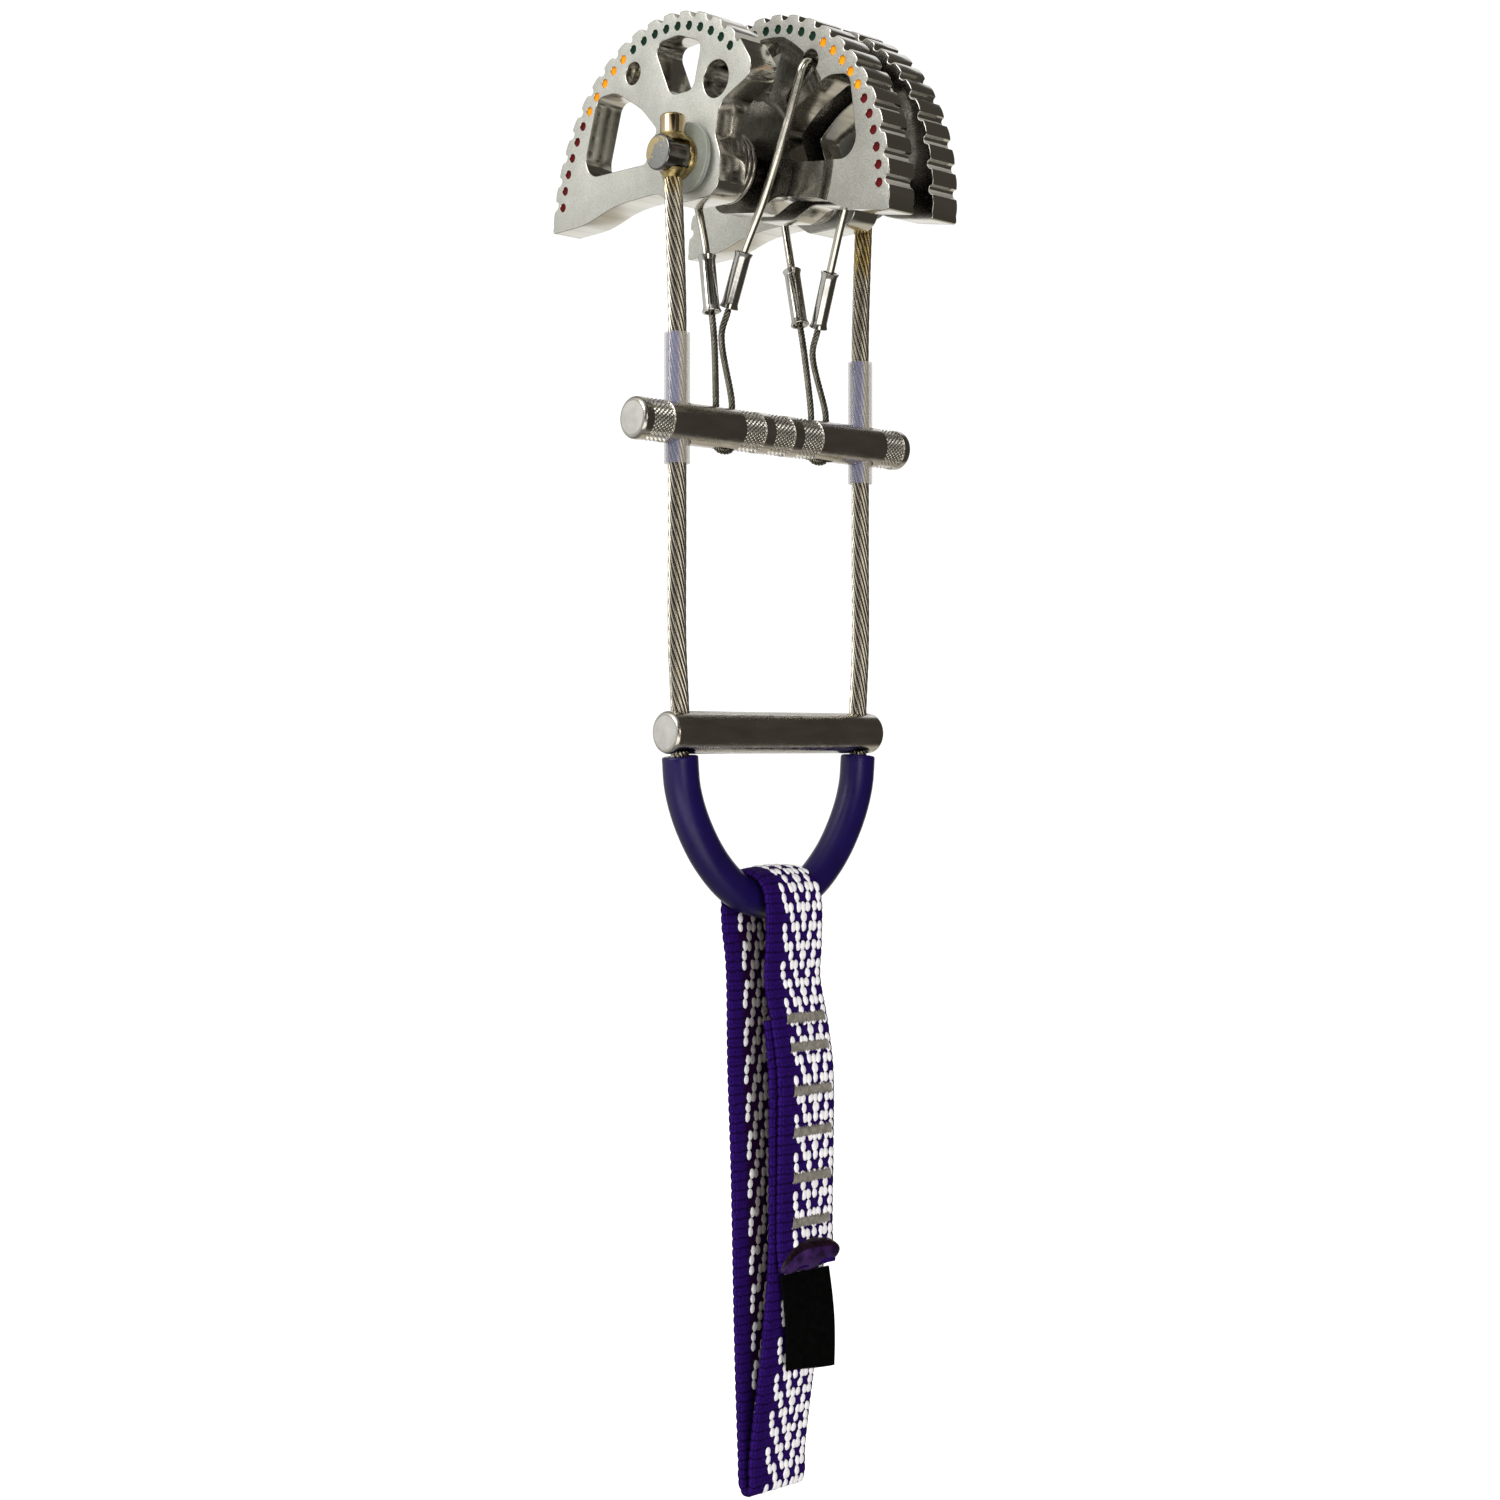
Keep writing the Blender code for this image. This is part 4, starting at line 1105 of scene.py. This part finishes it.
def make_stem(m):
    lay = 26.5
    wires = 8
    loop_x = STEM_ROUTE[LOOP_ROUTE_START][0]
    section = strand_section(12, CABLE_RADIUS, wires)
    vertices, faces = swept(smooth_route(stem_points(), 0.6), section, -math.tau / lay)
    made_piece("stem_cable_strands", vertices, faces, [m["cable"], m["gap"]], "stem", ("stem_cable",),
               "cable_steel", 50.0, gap_shade_marks(faces, wires))
    make_loop_tube(m)
    z, _, bar = make_bar("thumb_bar", [], m)
    subtract(bar, hole_cutters(bar, [sign * loop_x for _, sign in SIDES], z, 6.0, CABLE_RADIUS + CLEARANCE))
    settle(bar, "stem", ("thumb_bar",), "bar_steel")


def make_loop_tube(m):
    """The hollow tube round the cable's loop, with rounded ends."""
    route = smooth_route(stem_points(LOOP_ROUTE_START), 1.2)
    frames = frames_along(route)
    middle = (LOOP_TUBE_RADIUS + LOOP_TUBE_BORE) / 2.0
    thick = (LOOP_TUBE_RADIUS - LOOP_TUBE_BORE) / 2.0
    rim = quarter_round(0.35, 3)
    stations = [(0, rise, thick - inward) for rise, inward in rim]
    stations += [(index, 0.0, thick) for index in range(1, len(route) - 1)]
    stations += [(-1, -rise, thick - inward) for rise, inward in reversed(rim)]
    walls = {1.0: [], -1.0: []}
    for index, shift, half_wall in stations:
        along, across, up = frames[index]
        for side, rings in walls.items():
            outline = circle(0.0, 0.0, middle + side * half_wall, 40)
            rings.append([route[index] + along * shift + across * a + up * b for a, b in outline])
    shape = lofted(walls[1.0] + walls[-1.0][::-1], False, True)
    made_piece("loop_tube_sleeve", *shape, [m["loop"]], "stem", ("loop_tube",), "loop_plastic")


def make_bar(node, bands, m):
    """A polished bar with faced ends and a shallow seat for each (centre, width) band, not yet on a body."""
    seat = 0.30
    slope = 0.12
    rounding = 0.8
    low, high = corners(node)
    length = high.x - low.x
    z = (low.z + high.z) / 2.0
    radius = (high.z - low.z) / 2.0
    ends = rod_profile(length, radius, rounding, 7)
    half = len(ends) // 2
    middle = []
    for centre, width in bands:
        start = length / 2.0 + centre - width / 2.0
        end = start + width
        middle += [(start - slope, radius), (start, radius - seat)]
        middle += [(end, radius - seat), (end + slope, radius)]
    profile = ends[:half] + middle + ends[half:]
    bar = turned(f"{node}_polished", profile, (low.x, 0, z), (high.x, 0, z), [m["bar"], m["bar_end"]], None,
                 sides=72, marks=end_marks(profile))
    return z, radius, bar


# ---------------------------------------------------------------- trigger
def wire_holes(side):
    """The places across the trigger bar where one side's two thin cables come out."""
    return sorted(wire["hole_x"] for name, wire in PULL_WIRES.items() if name.endswith(side))


def make_trigger(m):
    z, radius, bar = make_bar("trigger_bar", KNURL_BANDS, m)
    sleeve_x, sleeve_radius = middle_x("sleeve_right")
    cutters = hole_cutters(bar, [sign * sleeve_x for _, sign in SIDES], z, 6.0, sleeve_radius + CLEARANCE)
    wires = PULL_WIRES.values()
    cutters += hole_cutters(bar, [wire["hole_x"] for wire in wires], z, 5.0, THIN_HOLE_RADIUS)
    subtract(bar, cutters)
    # a slot under the bar takes each bend of thin cable
    half = 1.0
    floor = z - 6.0
    roof = z - 1.9
    box = [(-half, floor), (half, floor), (half, roof), (-half, roof)]
    slots = []
    for side, _ in SIDES:
        first, last = wire_holes(side)
        levels = [(first - half, box), (last + half, box)]
        slots.append(prism(lambda *place: Vector(place), levels, list(bar.data.materials), 0))
    subtract(bar, slots)
    shade(bar, 35.0)
    settle(bar, "trigger", ("trigger_bar",), "bar_steel")
    for index, (centre, width) in enumerate(KNURL_BANDS):
        make_knurl(f"knurl_band_{index + 1}", centre, width, radius, z, m)
    for side, _ in SIDES:
        make_sleeve(f"sleeve_{side}", m)


def make_knurl(name, centre, width, radius, z, m):
    """A band of pointed diamonds, cut by two crossing sets of grooves, on a hidden core."""
    around = 60
    diamond = 0.9
    across = 2 * round(width / diamond)
    deep = radius - 0.34
    core = deep - 0.5

    def ring(j, size_of):
        x = centre - width / 2.0 + width * j / across
        ring_points = []
        for i in range(around):
            turn = math.tau * i / around
            size = size_of(i)
            ring_points.append(Vector((x, size * math.cos(turn), z + size * math.sin(turn))))
        return ring_points

    rings = [ring(j, lambda i: radius if (i + j) % 2 else deep) for j in range(across + 1)]
    rings += [ring(j, lambda i: core) for j in (across, 0)]
    vertices, quads = lofted(rings, False, True)
    grid = across * around
    faces = quads[grid:]
    for index, (a, b, c, d) in enumerate(quads[:grid]):
        peak_first = (index % around + index // around) % 2
        faces += [[d, a, b], [b, c, d]] if peak_first else [[a, b, c], [c, d, a]]
    made_piece(name, vertices, faces, [m["knurl"]], "trigger", (), "bar_steel", 10.0)


def make_sleeve(node, m):
    x, radius = middle_x(node)
    low, high = corners(node)
    bore = radius - 0.28
    rim = 0.05
    length = high.z - low.z
    profile = [(0.0, bore), (0.0, radius - rim), (rim, radius), (length - rim, radius),
               (length, radius - rim), (length, bore)]
    turned(f"{node}_clear", profile, (x, 0, low.z), (x, 0, high.z), [m["clear"]], "trigger", (node,),
           "clear_plastic", 48, closed=True)


# ---------------------------------------------------------------- pull wires
def thin_route(wire):
    """The thin cable from inside its ferrule down to the top of the trigger bar's hole."""
    low, high = (Vector(point) for point in wire["ferrule"])
    upward = (high - low).normalized()
    start = low - upward * 0.6
    x = wire["hole_x"]
    route = [start, start - upward * 4.0, (x, 0.0, WIRE_PIVOT_Z + 1.0), (x, 0.0, WIRE_PIVOT_Z - 2.0)]
    return [low + upward * 1.5, low + upward * 0.5] + smooth_route(route, 0.45)


def make_thin_cables(m):
    lay = 4.4
    section = strand_section(6, THIN_CABLE_RADIUS, 6)
    twist = math.tau / lay
    for name, wire in PULL_WIRES.items():
        piece = made_piece(f"thin_cable_{name}", *swept(thin_route(wire), section, twist), [m["thin"]], None,
                           smooth=50.0)
        end = Vector(wire["ferrule"][0]) * MM
        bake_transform(piece)
    bend_z = -47.5
    corner = 1.1
    for side, _ in SIDES:
        first, last = wire_holes(side)
        down = [(0.0, WIRE_PIVOT_Z - 1.6), (0.0, -44.0), (0.0, bend_z + corner),
                (corner * 0.3, bend_z + corner * 0.3), (corner, bend_z)]
        route = [(first + inward, 0, z) for inward, z in down]
        route += [(last - inward, 0, z) for inward, z in reversed(down)]
        made_piece(f"thin_cable_bend_{side}", *swept(smooth_route(route, 0.4), section, twist), [m["thin"]],
                   "trigger", (f"trigger_loop_{side}",), "thin_cable_steel", 50.0)


def make_pull_wires(m):
    """Each ferrule, open and flared at both ends, and the stiff wire from it into its cam's hole."""
    bore = 1.05
    size = 1.4
    flare = 1.65
    crimp_bore = bore - 0.25
    bend = 1.3
    half_profile = [(0.0, bore + 0.2), (0.0, flare - 0.06), (0.08, flare), (0.3, flare - 0.06),
                    (0.7, size + 0.03), (1.1, size)]
    for name, wire in PULL_WIRES.items():
        body = f"wire_{name}"
        low, high = (Vector(point) for point in wire["ferrule"])
        length = (high - low).length
        profile = half_profile + [(length - rise, radius) for rise, radius in reversed(half_profile)]
        profile += [(length - 0.6, crimp_bore), (0.6, crimp_bore)]
        turned(f"ferrule_{name}_tube", profile, low, high, [m["ferrule"]], body, (f"ferrule_{name}",),
               "ferrule_steel", 36, closed=True, smooth=50.0)
        top = Vector(wire["wire"][-1])
        outer = name.startswith("outer")
        into = Vector((1.0 if outer == name.endswith("right") else -1.0, 0.0, 0.0))
        before = (top - Vector(wire["wire"][-2])).normalized()
        hook = 4.2 if outer else 5.6
        points = [high.lerp(low, 0.35), high] + wire["wire"][:-1]
        points += [top - before * 2.6, top - before * bend, top - before * bend * 0.3 + into * bend * 0.3,
                   top + into * bend, top + into * 2.8, top + into * hook]
        shape = swept(smooth_route(points, 0.8), circle(0.0, 0.0, PULL_WIRE_RADIUS, 16))
        node = f"pull_wire_{name}"
        made_piece(f"{node}_bright", *shape, [m["wire"]], body, (node,), "wire_steel")


# ---------------------------------------------------------------- sling
def sling_route():
    """The webbing's middle line, from its sewn end up, over the tube, round and back up, as (y, z)."""
    up_front = [(-8.3, -184.6), (-7.6, -181.0), (-7.5, -165.0), (-7.45, -152.0), (-6.1, -143.5),
                (-4.6, -136.5), (-5.1, -131.5), (-WRAP_RADIUS, -127.5)]
    turns = [math.pi * (1.0 - step / 6.0) for step in range(7)]
    wrap = [(WRAP_RADIUS * math.cos(a), LOOP_CENTRE_Z + WRAP_RADIUS * math.sin(a)) for a in turns]
    down_back = [(WRAP_RADIUS, -127.5), (4.55, -134.0), (4.35, -152.0), (3.4, -170.0), (2.55, -188.0),
                 (1.9, -204.0), (1.35, -218.5)]
    fold = [(1.3, -221.6), (0.8, -223.1), (0.0, -223.5), (-0.8, -223.1), (-1.25, -221.6)]
    up_again = [(-1.3, -218.5), (-2.4, -211.0), (-3.65, -204.0), (-5.2, -192.0), (-5.9, -184.0),
                (-5.85, -165.0), (-5.75, -152.0), (-4.7, -143.0)]
    return [Vector((0.0, y, z)) for y, z in up_front + wrap + down_back + fold + up_again]


def even_route(points):
    """A smooth route read at equal steps, a whole number of rows long, and its length."""
    dense = smooth_route(points, 0.2)
    lengths = [0.0]
    for before, after in zip(dense, dense[1:]):
        lengths.append(lengths[-1] + (after - before).length)
    total = lengths[-1]
    steps = ROW_STEPS * round(total / ROW)
    even = []
    index = 0
    for step in range(steps + 1):
        target = total * step / steps
        while index < len(lengths) - 2 and lengths[index + 1] < target:
            index += 1
        share = (target - lengths[index]) / max(1e-9, lengths[index + 1] - lengths[index])
        even.append(dense[index].lerp(dense[index + 1], share))
    return even, total


class Webbing:
    """Places on the webbing: along its route, across its width and above its middle."""

    def __init__(self):
        self.route, self.length = even_route(sling_route())
        directions = [direction_at(self.route, index) for index in range(len(self.route))]
        self.outward = [Vector((0.0, -along.z, along.y)) for along in directions]
        self.rows = (len(self.route) - 1) // ROW_STEPS

    def place(self, steps, across, height):
        """steps is in sixths of a row, across from the left edge, height towards the outer face."""
        index = min(max(int(steps), 0), len(self.route) - 2)
        share = steps - index
        point = self.route[index].lerp(self.route[index + 1], share)
        outward = self.outward[index].lerp(self.outward[index + 1], share).normalized()
        x = across - WEBBING_WIDTH / 2.0
        wander = 0.25 * math.sin(point.z * 0.07) + self.tail_shift(steps)
        droop = -0.45 * max(0.0, outward.z) ** 2 * (x / 6.5) ** 2
        return point + outward * height + Vector((x + wander, 0.0, droop))

    def tail_shift(self, steps):
        """The sewn end lies a little to the right of the layer under it."""
        aside = 0.45
        fades_from = 150.0
        fades_over = 90.0
        share = min(max((steps - fades_from) / fades_over, 0.0), 1.0)
        return aside * (1.0 - share * share * (3.0 - 2.0 * share))


def webbing_height(across, steps):
    """Height of the purple ground over the webbing's middle: ribs, half of them staggered by column."""
    column = 0.65
    rounding = 0.75
    row = steps / ROW_STEPS
    stagger = 0.5 * (int(across / column) % 2)
    rib = 0.55 * abs(math.sin(math.pi * row)) ** 0.6 + 0.45 * abs(math.sin(math.pi * (row + stagger))) ** 0.6
    edge = min(across, WEBBING_WIDTH - across)
    fall = min(1.0, math.sqrt(max(0.0, edge / rounding)))
    return (WEBBING_FACE - 0.20 + 0.15 * rib) * fall


def make_webbing(m, webbing):
    """The purple ground, with a cloth map that is mirrored below zero on the inner face."""
    columns = 40
    edge = 0.4
    xs = [WEBBING_WIDTH * i / columns for i in range(columns + 1)]
    around = [(x, 1.0) for x in xs] + [(x, -1.0) for x in xs[-2:0:-1]]
    rings = []
    places = []
    for step in range(len(webbing.route)):
        serration = 0.14 * abs(math.sin(math.pi * step / ROW_STEPS)) ** 0.7
        ring = []
        for x, side in around:
            pushed = x - serration if x < edge else x + serration if x > WEBBING_WIDTH - edge else x
            ring.append(webbing.place(step, pushed, webbing_height(x, step) * side))
            places.append((x * side, step / ROW_STEPS))
        rings.append(ring)
    piece = made_piece("sling_webbing", *lofted(rings), [m["webbing"]], None, smooth=60.0)
    layer = piece.data.uv_layers.new(name="cloth")
    for loop in piece.data.loops:
        layer.data[loop.index].uv = places[loop.vertex_index]
    return piece


def make_white_yarns(m, webbing):
    """The white floats on both faces: short pointed ovals that stand on the purple ground, most of them on
    the inner face in painted shade.
    """
    pick = random.Random(11)
    shares = [-1.0 + step / 3.0 for step in range(7)]
    shaded_from = 4.4
    sunk = 0.24
    floats = []
    marks = []
    for side in (1.0, -1.0):
        for row in range(1, webbing.rows - 1):
            for across in WEAVE[(row + 2) % 4]:
                across += pick.uniform(-0.06, 0.06)
                tilt = pick.uniform(-0.05, 0.05)
                middle = row * 6.0 + 3.0 + pick.uniform(-0.25, 0.25)
                half_width = 0.65 * pick.uniform(0.92, 1.06)
                half_length = 3.55 * pick.uniform(0.94, 1.04)
                rings = []
                for t in shares:
                    girth = max(0.0, 1.0 - abs(t) ** 2.1) ** 0.62
                    x = across + tilt * t * 2.0
                    ring = [(x, WEBBING_FACE - 0.5)]
                    for u in shares:
                        rise = 0.30 * girth * math.sqrt(max(0.0, 1.0 - u * u))
                        ring.append((x + u * half_width * girth, WEBBING_FACE - sunk + 0.08 * girth + rise))
                    rings.append([webbing.place(middle + t * half_length, a, side * b) for a, b in ring])
                floats.append(lofted(rings))
                # Floats on the inner face past shaded_from take the painted-shade yarn.
                marks += [1 if side < 0.0 and across > shaded_from else 0] * len(floats[-1][1])
    return made_piece("sling_white_yarn", *merged(floats), [m["yarn"], m["shaded_yarn"]], None, smooth=60.0,
                      marks=marks)


def make_bar_tacks(m, webbing):
    """Rows of zigzag stitches that sew the webbing's end to the layer under it."""
    pick = random.Random(5)
    strokes = 28
    first = 2.9
    width = 8.7
    half_row = 3.0
    thread_radius = 0.19
    rows = []
    for height in TACK_HEIGHTS:
        middle = height / ROW * ROW_STEPS
        points = []
        for stroke in range(strokes + 1):
            across = first + width * stroke / strokes + pick.uniform(-0.04, 0.04)
            rise = (half_row if stroke % 2 else -half_row) * pick.uniform(0.9, 1.08)
            points.append(webbing.place(middle + rise, across, WEBBING_FACE - 0.05))
            for share in (0.7, -0.7):
                side = across + 0.1 * (1.0 - share)
                points.append(webbing.place(middle + rise * share, side, WEBBING_FACE + 0.24))
        rows.append(swept(points[:-2], circle(0.0, 0.0, thread_radius, 6)))
    return made_piece("sling_bar_tacks", *merged(rows), [m["tack"]], "sling")


def make_fused_end(m):
    """The melted end of the webbing: a swollen lip that curls outwards, darkest along its upper rim."""
    across = 40
    down = 14
    rings = []
    for i in range(across + 1):
        u = -1.0 + 2.0 * i / across
        round_off = math.sqrt(max(0.0, 1.0 - u ** 10))
        top = -179.9 - (1.4 if u > 0.0 else 3.7) * u * u
        bottom = -185.2 + 1.2 * max(0.0, u) ** 2
        ring = []
        for turn in [math.tau * j / down for j in range(down)]:
            z = (top + bottom) / 2.0 + (top - bottom) / 2.0 * math.sin(turn) * round_off
            y = -8.1 - 1.15 * math.cos(turn) * round_off * (1.0 + 0.125 * math.sin(turn))
            ring.append(Vector((7.0 * u + 0.75, y, z)))
        rings.append(ring)
    marks = [0 if 1 <= j <= 4 else 1 for j in range(down)] * across + [0, 0]
    piece = made_piece("sling_fused_end", *lofted(rings), [m["fused"], m["melted"]], "sling", smooth=60.0,
                       marks=marks)
    roughen(piece, 0.35, 4)
    return piece


def make_label(m):
    """A blank satin label, folded double and sewn in under the webbing's end."""
    low, high = corners("label")
    width = high.x - low.x
    length = high.z - low.z
    across = 20
    down = 30
    top_y = -7.85
    bottom_y = -7.0
    half_thick = 0.22
    rings = []
    for share in [j / down for j in range(down + 1)]:
        faces = {1.0: [], -1.0: []}
        for side, row in faces.items():
            for along in [i / across for i in range(across + 1)]:
                x = low.x + width * along - 0.9 + 2.2 * share
                z = high.z - length * share + share * (1.7 - 1.1 * along)
                wave = 0.18 * math.sin(0.55 * x + 2.2 * share) * share
                wave += 0.05 * math.sin(2.6 * x) * (1.0 - share)
                y = top_y + (bottom_y - top_y) * share - 0.5 * math.sin(math.pi * share)
                thick = half_thick * (1.0 - 0.35 * abs(2.0 * along - 1.0) ** 8)
                row.append(Vector((x, y + wave - side * thick, z)))
        rings.append(faces[1.0] + faces[-1.0][::-1])
    vertices, quads = lofted(rings, False)
    ring = 2 * across + 2
    for start in (0, len(vertices) - ring):
        last = start + ring - 1
        quads += [[start + i, start + i + 1, last - 1 - i, last - i] for i in range(across)]
    label = made_piece("label_blank", vertices, quads, [m["label"]], "sling", ("label",), "label_satin",
                       50.0)


def make_sling(m):
    webbing = Webbing()
    base = make_webbing(m, webbing)
    yarns = make_white_yarns(m, webbing)
    for piece in (base, yarns):
        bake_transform(piece)
    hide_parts("sling")
    tacks = make_bar_tacks(m, webbing)
    fused = make_fused_end(m)
    make_label(m)


# ---------------------------------------------------------------- the whole scene
def main():
    make_camera()
    make_world()
    make_floor()
    make_lights()
    m = make_materials()
    for make in (make_cams, make_axle, make_washers, make_springs, make_stem, make_trigger, make_thin_cables,
                 make_pull_wires, make_sling):
        make(m)


main()
